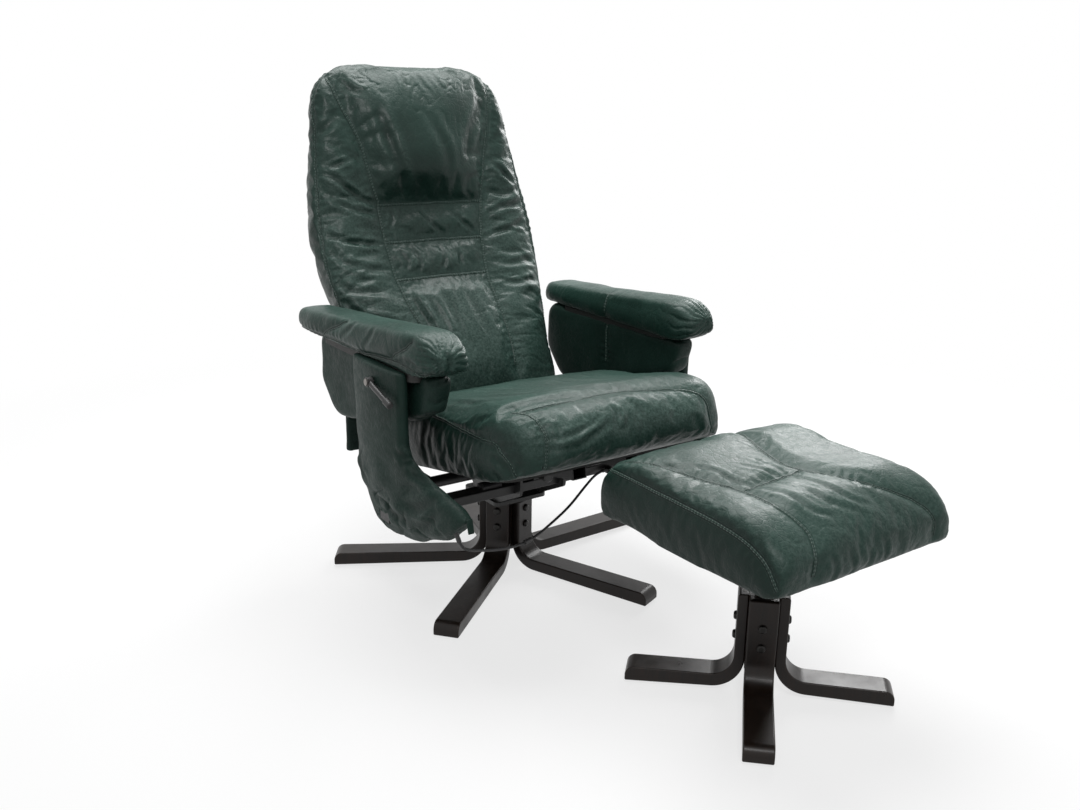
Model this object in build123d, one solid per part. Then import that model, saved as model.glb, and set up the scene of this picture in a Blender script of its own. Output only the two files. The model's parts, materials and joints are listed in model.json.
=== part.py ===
from build123d import *
from math import asin, cos, degrees, hypot, radians, sin, tan
import os

# Swivel recliner on a five-legged bentwood star base, with its four-legged footstool.
# Millimetres, +Z up. The chair faces -Y and +X is the sitter's left. The pieces are
# drawn about the chair's swivel axis and moved together when they are written, so that
# the origin lies on the floor under the middle of the set.

# Shared stock and fits
running_fit = 0.05
seat_fit = 0.3
shoulder_rise_share = 0.86
turn_width_share = 0.76
turn_rise_share = 0.68
plate_thickness = 6.0
pin_head = 3.0
round_share = 0.9
overrun = 20.0

# Star bases
star_radius = 355.0
stool_star_radius = 225.0
chair_leg_count = 5
stool_leg_count = 4
first_leg_turn = -140.4
stool_first_leg_turn = -135.0
leg_width = 49.0
leg_tip_thickness = 26.0
leg_board_thickness = 18.0
leg_bend_radius = 38.0
leg_arch_height = 7.0
leg_nose_radius = 16.0
leg_edge_round = 2.5
chair_board_top = 153.0
stool_board_top = 183.0
hub_apothem = 35.0
stool_hub_apothem = 25.0
hub_bottom = 48.0
glide_height = 3.0
glide_radius = 11.0
glide_inset = 26.0
bolt_heights = (98.0, 133.0)
bolt_head_radius = 7.5
bolt_head_height = 5.0
bolt_shank_radius = 4.0
dome_share = 0.8

# Swivel bearing and the plate on it
spindle_radius = 14.0
bush_wall = 6.0
bush_flange_radius = 30.0
bush_flange_height = 3.0
spindle_foot = 62.0
swivel_plate_x = 124.0
swivel_plate_y = 130.0
swivel_plate_thickness = 8.0

# Arm carrier: cross beam, brackets, risers and tubes under the seat
beam_centre_y = -105.0
beam_depth = 34.0
beam_height = 20.0
beam_bottom = 203.0
beam_wall = 3.0
bracket_thickness = 8.0
bracket_inset = 16.0
bracket_top = 484.0
bracket_bend = 14.0
bracket_reach = 64.0
riser_x = 52.0
riser_front_y = -140.0
riser_rear_y = 70.0
cross_tube_y = 0.0
cross_tube_z = 212.0
cross_tube_radius = 12.0
cross_tube_half = 186.0
tube_wall = 2.0
rail_x = 60.0
rail_width = 30.0
rail_height = 24.0
bumper_length = 42.0
bumper_width = 24.0
bumper_height = 9.0
bumper_x = -104.0

# Seat: a cushion over a plywood pan, sloping down to the back
seat_slope = 10.5
seat_bottom_at_axis = 265.0
seat_half_width = 246.0
seat_front = 442.0
seat_rear = 80.0
seat_side_height = 100.0
seat_crown_height = 132.0
pan_thickness = 12.0
pan_inset = 17.0
seat_tuck_share = 0.02
pan_hole_radius = 16.0
pan_hole_pitch = 95.0

# Back: one upholstered body that swells at the loins and leans over at the top
pivot_y = 150.0
pivot_z = 278.0
pivot_pin_radius = 6.0
recline_limit = 20.0
back_bottom = 300.0
back_top = 1015.0
back_half_width = 254.0
back_front_y = 100.0
back_rear_y = 430.0
back_frame_inset = 14.0
back_tube_radius = 9.0
back_frame_top = 925.0
back_tube_foot = 256.0
back_tube_bend = 45.0
back_crossbar_y = 205.0
back_crossbar_z = 268.0
back_crossbar_radius = 8.0
back_seam_depth = 1.35
back_seam_shoulder = 19.0
hinge_lug_radius = 17.0
hinge_washer_gap = 1.0
skirt_y = 231.0
skirt_thickness = 9.0
skirt_drop = 77.0
skirt_half_width = 243.0
skirt_fold_depth = 5.0
skirt_folds = 9

# Gas spring between the beam and the lower end of the back
gas_lever = 40.0
gas_cylinder_radius = 11.0
gas_cylinder_length = 200.0
gas_cylinder_rear = 40.0
gas_rod_radius = 5.0
gas_eye_radius = 11.0
gas_eye_width = 12.0
gas_pin_radius = 4.0
gas_eye_slack = 0.8
gas_clevis_gap = 0.5

# Arms
arm_gap = 4.0
arm_width = 95.0
arm_rear_y = 250.0
arm_nose_y = -276.0
arm_low = 499.0
arm_high = 577.0
arm_toe_in = 20.0
arm_board_thickness = 15.0
arm_board_half_width = 31.0
arm_board_front = -200.0
arm_board_rear = 165.0
side_pad_gap = 6.0
side_pad_width = 51.0
side_pad_crown = 16.0

# Leather sleeve round the arm bracket
sleeve_hem_inset = 37.0
sleeve_clearance = 0.6

# Recline lever on the sitter's right arm
lever_pin_y = -104.0
lever_pin_z = 470.0
lever_pin_radius = 4.0
lever_gap = 1.0
lever_pin_head = 2.0
lever_hub_radius = 8.5
lever_hub_length = 10.5
lever_length = 84.0
lever_bar_radius = 5.0
lever_knob_radius = 6.5
lever_knob_length = 20.0
lever_droop = 17.0

# Release cable, which hangs in a loop from the sleeve to the seat's other side
cable_radius = 2.6
cable_lead = 7.0
ferrule_radius = 4.2
ferrule_length = 34.0
ferrule_bore_depth = 6.0
adjuster_radius = 5.0
adjuster_length = 26.0
adjuster_fit = 0.25
anchor_x = 172.0
anchor_reach = 20.0
anchor_thickness = 3.0
anchor_height = 20.0
anchor_ferrule_length = 14.0
anchor_z = 213.0
adjuster_run = 5
strap_width = 12.0
strap_thickness = 3.0
strap_length = 22.0
strap_lean_share = 0.3
cable_slack_share = 0.45

# Footstool, standing in front of the seat and a little to the sitter's left
stool_x = 81.0
stool_y = -668.0
stool_half_width = 210.0
stool_half_depth = 208.0
stool_bottom = 294.0
stool_side_height = 88.0
stool_crown_height = 110.0
stool_board_thickness = 12.0
stool_board_inset = 16.0
stool_post_radius = 16.0
stool_plate_half = 70.0
stool_plate_thickness = 6.0
screw_head_radius = 5.0
screw_head_height = 3.0
screw_place_share = 0.7
screw_depth_share = 0.7
screw_dome_share = 0.6

# Places worked out from the sizes above
hinge_plate_x = cross_tube_half
back_frame_x = cross_tube_half - back_frame_inset
arm_inner_x = seat_half_width + arm_gap
arm_outer_x = arm_inner_x + arm_width
side_pad_inner_x = seat_half_width + side_pad_gap
side_pad_outer_x = side_pad_inner_x + side_pad_width
bracket_outer_x = arm_outer_x - bracket_inset
sleeve_hem_x = bracket_outer_x - sleeve_hem_inset
bush_radius = spindle_radius + running_fit + bush_wall
bush_flange_top = chair_board_top + bush_flange_height
swivel_plate_bottom = bush_flange_top + running_fit
swivel_plate_top = swivel_plate_bottom + swivel_plate_thickness
gas_axis_z = pivot_z - gas_lever
set_shift_y = -(back_rear_y + stool_y - stool_half_depth) / 2
beam_front_y = beam_centre_y - beam_depth / 2
beam_rear_y = beam_centre_y + beam_depth / 2
beam_top = beam_bottom + beam_height
bracket_inner_x = bracket_outer_x - bracket_thickness
seat_tilt = Location((0, 0, seat_bottom_at_axis), (-seat_slope, 0, 0))
cable_route = (
    (-sleeve_hem_x, -307.0, 231.0),
    (cable_lead - sleeve_hem_x, -305.0, 213.5),
    (4 * cable_lead - sleeve_hem_x, -297.0, 200.0),
    (-222.0, -270.0, 179.0),
    (-162.0, -236.0, 153.0),
    (-98.0, -202.0, 133.0),
    (-42.0, -175.0, 127.0),
    (14.0, -153.0, 137.0),
    (66.0, -140.0, 156.0),
    (108.0, -133.0, 187.0),
    (142.0, -132.0, anchor_z),
    (164.0, -132.0, anchor_z),
)


os.makedirs("parts", exist_ok=True)


def write(name, shape):
    """Moves a finished piece to the set's own frame and writes it."""
    solids = [solid.moved(Location((0, set_shift_y, 0))) for solid in shape.solids()]
    shape = solids[0] if len(solids) == 1 else Compound(solids)
    shape.label = name
    export_step(shape, f"parts/{name}.step")


def block(x0, x1, y0, y1, z0, z1):
    """A box between two corners."""
    middle = Pos((x0 + x1) / 2, (y0 + y1) / 2, (z0 + z1) / 2)
    return middle * Box(abs(x1 - x0), abs(y1 - y0), abs(z1 - z0))


def upright(x, y, z0, z1, radius):
    """A vertical cylinder from one height to another."""
    return Pos(x, y, (z0 + z1) / 2) * Cylinder(radius, abs(z1 - z0))


def along_x(x0, x1, y, z, radius):
    """A cylinder along X."""
    return Pos((x0 + x1) / 2, y, z) * Rot(0, 90, 0) * Cylinder(radius, abs(x1 - x0))


def along_y(x, y0, y1, z, radius):
    """A cylinder along Y."""
    return Pos(x, (y0 + y1) / 2, z) * Rot(90, 0, 0) * Cylinder(radius, abs(y1 - y0))


def side_plate(x0, x1, points, radii):
    """A flat plate with a rounded outline, given as Y and Z, between two X places."""
    face = make_face(FilletPolyline(*[(0, y, z) for y, z in points], radius=radii, close=True))
    return Pos(x0, 0, 0) * extrude(face, amount=x1 - x0, dir=(1, 0, 0))


def mirrored(shape):
    """The same piece on the sitter's other side."""
    return mirror(shape, about=Plane.YZ)


def both_sides(name, shape):
    """Writes a piece of the sitter's right side and its mirror image on the left."""
    write(f"{name}_right", shape)
    write(f"{name}_left", mirrored(shape))


def group(shapes):
    """Separate solids in one node."""
    return Compound([shape.solid() for shape in shapes])


def pair(shape):
    """A piece and its mirror image in one node."""
    return group([shape, mirrored(shape)])


def flat_below(shape, level):
    """The piece without anything that swells below one level."""
    reach = 2 * (back_top + stool_star_radius)
    return shape - block(-reach, reach, -reach, reach, level - reach, level)


def pad_section(place, half_width, low, side_high, crown_high, bulge, shoulder_share):
    """One cross-section of a pad: flat below, bowed sides, rounded shoulders, crowned top."""
    middle = (low + side_high) / 2
    rise = crown_high - side_high
    shoulder = half_width * shoulder_share
    shoulder_high = side_high + rise * shoulder_rise_share
    turn_x = shoulder + (half_width - shoulder) * turn_width_share
    turn_high = side_high + (shoulder_high - side_high) * turn_rise_share
    outline = Curve() + [
        Line((-half_width, low), (half_width, low)),
        ThreePointArc((half_width, low), (half_width + bulge, middle), (half_width, side_high)),
        ThreePointArc((half_width, side_high), (turn_x, turn_high), (shoulder, shoulder_high)),
        ThreePointArc((shoulder, shoulder_high), (0, crown_high), (-shoulder, shoulder_high)),
        ThreePointArc((-shoulder, shoulder_high), (-turn_x, turn_high), (-half_width, side_high)),
        ThreePointArc((-half_width, side_high), (-half_width - bulge, middle), (-half_width, low)),
    ]
    return place * make_face(outline)


def across_y(x, y):
    """A plane at one Y, drawn in X and Z."""
    return Plane(origin=(x, y, 0), x_dir=(1, 0, 0), z_dir=(0, -1, 0))


# Star bases: bent boards bolted round a hub
def star_leg(inner, board_top, tip_radius):
    """One leg pointing along +X: an upright board that bends out along the floor."""
    outer = inner + leg_board_thickness
    root_low = glide_height + leg_arch_height
    root_high = root_low + (leg_tip_thickness + leg_board_thickness) / 2
    tip_low = glide_height
    tip_high = tip_low + leg_tip_thickness
    outline = FilletPolyline(
        (inner, 0, board_top),
        (inner, 0, root_low),
        (tip_radius, 0, tip_low),
        (tip_radius, 0, tip_high),
        (outer, 0, root_high),
        (outer, 0, board_top),
        radius=(
            leg_edge_round,
            leg_bend_radius + leg_board_thickness,
            leg_edge_round,
            leg_nose_radius,
            leg_bend_radius,
            leg_board_thickness / 3,
        ),
        close=True,
    )
    leg = extrude(make_face(outline), amount=leg_width / 2, dir=(0, 1, 0), both=True)
    sides = leg.faces().sort_by(Axis.Y)
    leg = fillet(sides[0].edges() + sides[-1].edges(), leg_edge_round)
    for height in bolt_heights:
        leg -= along_x(inner - overrun, outer + overrun, 0, height, bolt_shank_radius + running_fit)
    return leg


def star_bolts(inner):
    """The domed bolts of one leg pointing along +X."""
    outer = inner + leg_board_thickness
    bolts = []
    for height in bolt_heights:
        head = along_x(outer, outer + bolt_head_height, 0, height, bolt_head_radius)
        rim = head.faces().sort_by(Axis.X)[-1].edges()
        head = fillet(rim, bolt_head_height * dome_share)
        bolts.append(head + along_x(inner + running_fit, outer, 0, height, bolt_shank_radius))
    return bolts


def star_base(prefix, count, first_turn, apothem, board_top, tip_radius, place):
    """Writes hub, legs, bolts and glides of one star base."""
    pitch = 360 / count
    turns = [first_turn + pitch * k for k in range(count)]
    hub_outline = RegularPolygon(radius=apothem, side_count=count, major_radius=False)
    hub_outline = Rot(0, 0, first_turn + pitch / 2) * hub_outline
    hub = Pos(0, 0, hub_bottom) * extrude(hub_outline, amount=board_top - hub_bottom)
    bolts = []
    glides = []
    for number, turn in enumerate(turns, 1):
        leg = Rot(0, 0, turn) * star_leg(apothem, board_top, tip_radius)
        write(f"{prefix}_leg_{number}", place * leg)
        bolts += [place * Rot(0, 0, turn) * bolt for bolt in star_bolts(apothem)]
        glide = upright(tip_radius - glide_inset, 0, 0, glide_height, glide_radius)
        glides.append(place * Rot(0, 0, turn) * glide)
    write(f"{prefix}_leg_bolts", group(bolts))
    write(f"{prefix}_glides", group(glides))
    return hub


chair_place = Pos(0, 0, 0)
stool_place = Pos(stool_x, stool_y, 0)

chair_hub = star_base("base", chair_leg_count, first_leg_turn, hub_apothem,
                      chair_board_top, star_radius, chair_place)
chair_hub -= upright(0, 0, hub_bottom - overrun, chair_board_top + overrun, bush_radius + running_fit)
write("base_hub", chair_hub)

bush = upright(0, 0, hub_bottom, chair_board_top, bush_radius)
bush += upright(0, 0, chair_board_top, bush_flange_top, bush_flange_radius)
bush -= upright(0, 0, hub_bottom - overrun, bush_flange_top + overrun, spindle_radius + running_fit)
write("swivel_bush", bush)


# Carrier: what turns on the base and holds the arms and the seat
write("swivel_spindle", upright(0, 0, spindle_foot, swivel_plate_bottom, spindle_radius))

plate_corner = plate_thickness * 2
swivel_plate = block(-swivel_plate_x / 2, swivel_plate_x / 2, -swivel_plate_y / 2,
                     swivel_plate_y / 2, swivel_plate_bottom, swivel_plate_top)
swivel_plate = fillet(swivel_plate.edges().filter_by(Axis.Z), plate_corner)
write("swivel_plate", swivel_plate)

beam = block(-bracket_inner_x, bracket_inner_x, beam_front_y, beam_rear_y, beam_bottom, beam_top)
beam = fillet(beam.edges().filter_by(Axis.X), beam_wall)
beam -= block(-bracket_inner_x - overrun, bracket_inner_x + overrun, beam_front_y + beam_wall,
              beam_rear_y - beam_wall, beam_bottom + beam_wall, beam_top - beam_wall)
write("cross_beam", beam)

cross_tube = along_x(-cross_tube_half, cross_tube_half, cross_tube_y, cross_tube_z, cross_tube_radius)
cross_tube -= along_x(-cross_tube_half - overrun, cross_tube_half + overrun, cross_tube_y,
                      cross_tube_z, cross_tube_radius - tube_wall)
write("rear_cross_tube", cross_tube)


def under_seat(y, drop):
    """Height of the line that lies a given drop under the seat, square to its slope."""
    return seat_bottom_at_axis - y * tan(radians(seat_slope)) - drop / cos(radians(seat_slope))


riser_foot_share = 0.43
riser = side_plate(
    -riser_x - plate_thickness / 2,
    -riser_x + plate_thickness / 2,
    (
        (riser_front_y * riser_foot_share, swivel_plate_top),
        (riser_front_y, beam_bottom),
        (riser_front_y, under_seat(riser_front_y, rail_height)),
        (riser_rear_y, under_seat(riser_rear_y, rail_height)),
        (riser_rear_y * riser_foot_share, swivel_plate_top),
    ),
    (0, plate_corner, 0, 0, 0),
)
riser -= block(-riser_x - overrun, -riser_x + overrun, beam_front_y, beam_rear_y, beam_bottom, beam_top)
riser -= along_x(-riser_x - overrun, -riser_x + overrun, cross_tube_y, cross_tube_z,
                 cross_tube_radius)
write("seat_risers", pair(riser))

pan_front = seat_front - 5 * pan_inset
rail_front = pan_front - pan_inset
rail = block(-rail_x - rail_width / 2, -rail_x + rail_width / 2, -rail_front, seat_rear - pan_inset,
             -rail_height, 0)
rail -= block(-rail_x - rail_width / 2 + tube_wall, -rail_x + rail_width / 2 - tube_wall,
              -rail_front - overrun, seat_rear + overrun, -rail_height + tube_wall, -tube_wall)
write("seat_rails", pair(seat_tilt * rail))

# The bracket is a flat bar: up from the beam's end and turned in under the arm board
bracket_outline = make_face(FilletPolyline(
    (-bracket_outer_x, 0, beam_bottom),
    (-bracket_inner_x, 0, beam_bottom),
    (-bracket_inner_x, 0, bracket_top - bracket_thickness),
    (-bracket_outer_x + bracket_reach, 0, bracket_top - bracket_thickness),
    (-bracket_outer_x + bracket_reach, 0, bracket_top),
    (-bracket_outer_x, 0, bracket_top),
    radius=(0, 0, bracket_bend - bracket_thickness, 0, 0, bracket_bend),
    close=True,
))
bracket = Pos(0, beam_front_y, 0) * extrude(bracket_outline, amount=beam_depth, dir=(0, 1, 0))
bracket_pin_hole = along_x(-bracket_outer_x - overrun, -bracket_inner_x + overrun, lever_pin_y,
                           lever_pin_z, lever_pin_radius + running_fit)
write("arm_bracket_right", bracket - bracket_pin_hole)
write("arm_bracket_left", mirrored(bracket))

bumper = block(bumper_x - bumper_length / 2, bumper_x + bumper_length / 2, beam_centre_y - bumper_width / 2,
               beam_centre_y + bumper_width / 2, beam_top, beam_top + bumper_height)
bumper = chamfer(bumper.faces().sort_by(Axis.Z)[-1].edges(), bumper_height / 3)
write("beam_bumper", bumper)


# Seat pan and cushion, drawn level and then tilted
def seat_pan():
    pan = block(-seat_half_width + pan_inset, seat_half_width - pan_inset, -pan_front,
                seat_rear - pan_inset, 0, pan_thickness)
    pan = fillet(pan.edges().filter_by(Axis.Z), 3 * pan_inset)
    for column in (-1.5, -0.5, 0.5, 1.5):
        for row in (-1, 0, 1):
            middle_y = (seat_rear - pan_front) / 2 + row * pan_hole_pitch
            pan -= upright(column * pan_hole_pitch, middle_y, -overrun, pan_thickness + overrun,
                           pan_hole_radius)
    return pan


# One row a section, front to back: place, half width, low edge, side height, crown height
seat_section_shares = (
    (0.000, 0.640, 0.400, 0.520, 0.640),
    (0.023, 0.770, 0.260, 0.580, 0.800),
    (0.071, 0.910, 0.140, 0.680, 0.950),
    (0.157, 1.010, 0.060, 0.780, 1.030),
    (0.272, 1.030, 0.020, 0.840, 1.020),
    (0.464, 1.000, 0.000, 0.930, 0.980),
    (0.847, 1.000, 0.000, 0.980, 0.890),
    (0.962, 0.992, 0.000, 0.960, 0.830),
    (1.000, 0.960, 0.060, 0.880, 0.760),
)
seat_bulge_share = 0.016
seat_shoulder_share = 0.80


def seat_cushion():
    length = seat_front + seat_rear
    sections = []
    for place, width, low, side, crown in seat_section_shares:
        sections.append(pad_section(
            across_y(0, -seat_front + place * length),
            seat_half_width * (width - seat_bulge_share),
            seat_side_height * (low - seat_tuck_share),
            seat_side_height * side,
            seat_crown_height * crown,
            seat_half_width * seat_bulge_share,
            seat_shoulder_share,
        ))
    pocket = block(-seat_half_width + pan_inset, seat_half_width - pan_inset,
                   -pan_front, seat_rear - pan_inset, -overrun, pan_thickness)
    pocket = fillet(pocket.edges().filter_by(Axis.Z), 3 * pan_inset)
    return flat_below(loft(sections), 0) - pocket


write("seat_pan", seat_tilt * seat_pan())
write("seat_cushion", seat_tilt * seat_cushion())


# Hinge arms carry the back's pivots behind the seat
arm_flange_x = hinge_plate_x - plate_thickness
arm_height = 2 * hinge_lug_radius
hinge_arm = side_plate(
    -hinge_plate_x,
    -arm_flange_x,
    (
        (cross_tube_y - hinge_lug_radius, cross_tube_z - hinge_lug_radius),
        (pivot_y - hinge_lug_radius, cross_tube_z - hinge_lug_radius),
        (pivot_y + hinge_lug_radius, pivot_z - arm_height),
        (pivot_y + hinge_lug_radius, pivot_z + hinge_lug_radius),
        (pivot_y - hinge_lug_radius, pivot_z + hinge_lug_radius),
        (pivot_y - hinge_lug_radius - plate_corner, cross_tube_z + hinge_lug_radius),
        (cross_tube_y - hinge_lug_radius, cross_tube_z + hinge_lug_radius),
    ),
    (plate_corner, plate_corner * 2, plate_corner, hinge_lug_radius * round_share,
     hinge_lug_radius * round_share, plate_corner, plate_corner),
)
hinge_arm -= along_x(-hinge_plate_x - overrun, -arm_flange_x + overrun, cross_tube_y, cross_tube_z,
                     cross_tube_radius)
hinge_arm -= along_x(-hinge_plate_x - overrun, -arm_flange_x + overrun, pivot_y, pivot_z,
                     pivot_pin_radius + running_fit)
write("hinge_arms", pair(hinge_arm))

back_lug_outer_x = arm_flange_x - hinge_washer_gap
back_lug_inner_x = back_lug_outer_x - plate_thickness
hinge_pin = along_x(-hinge_plate_x - pin_head, -back_lug_inner_x + pin_head, pivot_y, pivot_z,
                    pivot_pin_radius)
hinge_pin += along_x(-hinge_plate_x - pin_head, -hinge_plate_x, pivot_y, pivot_z,
                     pivot_pin_radius + pin_head)
write("hinge_pins", pair(hinge_pin))


# Back: a bent tube frame with lugs, a bar and a clevis below, inside one cushion
back_frame_bends = ((262.0, 440.0), (332.0, 610.0), (388.0, 0.0))


def back_frame():
    foot = (-back_frame_x, back_crossbar_y, back_tube_foot)
    side = [
        foot,
        (-back_frame_x, back_crossbar_y, back_bottom),
        (-back_frame_x, back_frame_bends[0][0], back_frame_bends[0][1]),
        (-back_frame_x, back_frame_bends[1][0], back_frame_bends[1][1]),
        (-back_frame_x, back_frame_bends[2][0], back_frame_top),
    ]
    points = side + [(-x, y, z) for x, y, z in reversed(side)]
    path = FilletPolyline(*points, radius=back_tube_bend)
    start = Plane(origin=foot, x_dir=(1, 0, 0), z_dir=(0, 0, 1))
    return sweep(start * Circle(back_tube_radius), path=path)


# One row a section, upwards: height, half width, side seam, crown, rear, centre panel
back_section_shares = (
    (0.000, 0.886, 0.092, 0.023, 0.412, 0.410),
    (0.032, 0.914, 0.109, 0.011, 0.451, 0.409),
    (0.065, 0.928, 0.132, 0.011, 0.489, 0.408),
    (0.105, 0.935, 0.164, 0.028, 0.532, 0.407),
    (0.150, 0.940, 0.206, 0.065, 0.578, 0.407),
    (0.220, 0.960, 0.279, 0.150, 0.644, 0.410),
    (0.300, 0.996, 0.369, 0.274, 0.711, 0.417),
    (0.385, 1.033, 0.465, 0.412, 0.775, 0.431),
    (0.487, 1.055, 0.569, 0.551, 0.843, 0.458),
    (0.595, 1.033, 0.654, 0.635, 0.906, 0.499),
    (0.680, 0.996, 0.709, 0.670, 0.947, 0.542),
    (0.765, 0.957, 0.760, 0.700, 0.978, 0.593),
    (0.845, 0.925, 0.809, 0.739, 0.996, 0.649),
    (0.905, 0.886, 0.852, 0.789, 0.999, 0.677),
    (0.950, 0.800, 0.893, 0.846, 0.994, 0.641),
    (0.980, 0.672, 0.926, 0.897, 0.986, 0.554),
    (1.000, 0.441, 0.952, 0.939, 0.978, 0.382),
)
back_seam_shares = (0.385, 0.487, 0.595)
back_corner_share = 0.10
back_recess_share = 0.055
back_wing_share = 0.10
back_side_bow_share = 0.012


def back_row(height):
    """The back's shares at one height, on a smooth curve through the rows of the table."""
    rows = back_section_shares
    count = len(rows)
    for k in range(count - 1):
        lower = rows[k]
        upper = rows[k + 1]
        if lower[0] <= height <= upper[0]:
            before = rows[max(k - 1, 0)]
            after = rows[min(k + 2, count - 1)]
            span = upper[0] - lower[0]
            part = (height - lower[0]) / span
            leave_share = span / (upper[0] - before[0])
            reach_share = span / (after[0] - lower[0])
            values = []
            for a, b, c, d in zip(before, lower, upper, after):
                leave = (c - a) * leave_share
                reach = (d - b) * reach_share
                bend = leave + reach - 2 * (c - b)
                values.append(b + part * (leave + part * (c - b - leave + (part - 1) * bend)))
            return values


def back_section(shares, pinch):
    """One level section of the back, with its centre panel pinched in by a share of its recess."""
    height, width, side, crown, rear, panel = shares
    depth = back_rear_y - back_front_y
    level = back_bottom + height * (back_top - back_bottom)
    half = width * back_half_width
    side_y = back_front_y + side * depth
    crown_y = back_front_y + crown * depth
    rear_y = back_front_y + rear * depth
    thickness = rear_y - crown_y
    panel_x = panel * back_half_width
    panel_y = crown_y + thickness * back_recess_share
    corner_x = half - thickness * back_corner_share
    corner_y = rear_y - thickness * back_corner_share
    seam_x = half * (1 - back_side_bow_share)
    wing_x = (seam_x + panel_x) / 2
    wing_y = (side_y + panel_y) / 2 - thickness * back_wing_share
    centre_y = crown_y + (panel_y - crown_y) * pinch
    outline = Curve() + [
        ThreePointArc((-panel_x, panel_y), (0, centre_y), (panel_x, panel_y)),
        ThreePointArc((panel_x, panel_y), (wing_x, wing_y), (seam_x, side_y)),
        ThreePointArc((seam_x, side_y), (half, (side_y + corner_y) / 2), (corner_x, corner_y)),
        ThreePointArc((corner_x, corner_y), (0, rear_y), (-corner_x, corner_y)),
        ThreePointArc((-corner_x, corner_y), (-half, (side_y + corner_y) / 2), (-seam_x, side_y)),
        ThreePointArc((-seam_x, side_y), (-wing_x, wing_y), (-panel_x, panel_y)),
    ]
    return Pos(0, 0, level) * make_face(outline)


def back_cushion():
    shoulder = back_seam_shoulder / (back_top - back_bottom)
    heights = [(row[0], 0) for row in back_section_shares if row[0] not in back_seam_shares]
    for seam in back_seam_shares:
        heights += [(seam - shoulder, 0), (seam, back_seam_depth), (seam + shoulder, 0)]
    return loft([back_section(back_row(height), pinch) for height, pinch in sorted(heights)])


frame_tube = back_frame()
write("back_frame", frame_tube)
write("back_cushion", back_cushion() - frame_tube)

back_lug = side_plate(
    -back_lug_outer_x,
    -back_lug_inner_x,
    (
        (pivot_y - hinge_lug_radius, pivot_z - hinge_lug_radius),
        (back_crossbar_y, pivot_z - hinge_lug_radius),
        (back_crossbar_y, pivot_z + hinge_lug_radius),
        (pivot_y - hinge_lug_radius, pivot_z + hinge_lug_radius),
    ),
    (hinge_lug_radius * round_share, 0, 0, hinge_lug_radius * round_share),
)
back_lug -= along_x(-back_lug_outer_x - overrun, -back_lug_inner_x + overrun, pivot_y, pivot_z,
                    pivot_pin_radius + running_fit)
write("back_lugs", pair(back_lug - frame_tube))

crossbar = along_x(-back_frame_x, back_frame_x, back_crossbar_y, back_crossbar_z, back_crossbar_radius)
write("back_crossbar", crossbar - frame_tube)

clevis_reach_share = 0.85
clevis_inner = gas_eye_width / 2 + gas_clevis_gap
clevis_reach = gas_eye_radius * clevis_reach_share
clevis_collar = back_crossbar_radius + plate_thickness
clevis = side_plate(
    clevis_inner,
    clevis_inner + plate_thickness,
    (
        (pivot_y - clevis_reach, gas_axis_z - clevis_reach),
        (pivot_y + clevis_reach, gas_axis_z - clevis_reach),
        (back_crossbar_y + clevis_collar, back_crossbar_z - clevis_collar),
        (back_crossbar_y + clevis_collar, back_crossbar_z + clevis_collar),
        (back_crossbar_y - clevis_collar, back_crossbar_z + clevis_collar),
        (pivot_y - clevis_reach, gas_axis_z + clevis_reach),
    ),
    (clevis_reach * round_share, clevis_reach, back_crossbar_radius / 2, back_crossbar_radius / 2,
     back_crossbar_radius, clevis_reach * round_share),
)
clevis -= crossbar
clevis -= along_x(-overrun, overrun * 2, pivot_y, gas_axis_z, gas_pin_radius)
write("gas_clevis", pair(clevis))
pin_half = clevis_inner + plate_thickness + pin_head
write("gas_pin", along_x(-pin_half, pin_half, pivot_y, gas_axis_z, gas_pin_radius))


def skirt():
    """A short curtain below the back, gathered in even folds."""
    pitch = 2 * skirt_half_width / skirt_folds
    front = []
    rear = []
    for k in range(skirt_folds):
        x0 = -skirt_half_width + k * pitch
        swing = skirt_fold_depth if k % 2 else -skirt_fold_depth
        front.append(ThreePointArc((x0, skirt_y), (x0 + pitch / 2, skirt_y + swing), (x0 + pitch, skirt_y)))
        back_y = skirt_y + skirt_thickness
        rear.append(ThreePointArc((x0, back_y), (x0 + pitch / 2, back_y + swing), (x0 + pitch, back_y)))
    ends = [
        Line((-skirt_half_width, skirt_y), (-skirt_half_width, skirt_y + skirt_thickness)),
        Line((skirt_half_width, skirt_y), (skirt_half_width, skirt_y + skirt_thickness)),
    ]
    face = make_face(Curve() + front + rear + ends)
    return Pos(0, 0, back_bottom - skirt_drop) * extrude(face, amount=skirt_drop)


write("rear_skirt", skirt())

# Gas spring: a cylinder clamped on the beam and a rod with a slotted eye
rod_inner_share = 0.4
gas_front_y = gas_cylinder_rear - gas_cylinder_length
rod_inner_y = gas_cylinder_rear - gas_cylinder_length * rod_inner_share
rod_travel = gas_lever * radians(recline_limit)
cylinder = along_y(0, gas_front_y, gas_cylinder_rear, gas_axis_z, gas_cylinder_radius)
cylinder = chamfer(cylinder.faces().sort_by(Axis.Y)[0].edges(), gas_cylinder_radius / 4)
cylinder -= along_y(0, rod_inner_y - rod_travel - overrun, gas_cylinder_rear + overrun, gas_axis_z,
                    gas_rod_radius + running_fit)
write("gas_cylinder", cylinder)

saddle = block(-gas_cylinder_radius, gas_cylinder_radius, beam_front_y, beam_rear_y, beam_top, gas_axis_z)
saddle -= along_y(0, beam_front_y - overrun, beam_rear_y + overrun, gas_axis_z, gas_cylinder_radius)
saddle -= block(-overrun, overrun, beam_front_y - overrun, beam_rear_y + overrun,
                gas_axis_z - gas_cylinder_radius / 2, gas_axis_z + overrun)
write("gas_saddle", saddle)

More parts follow.
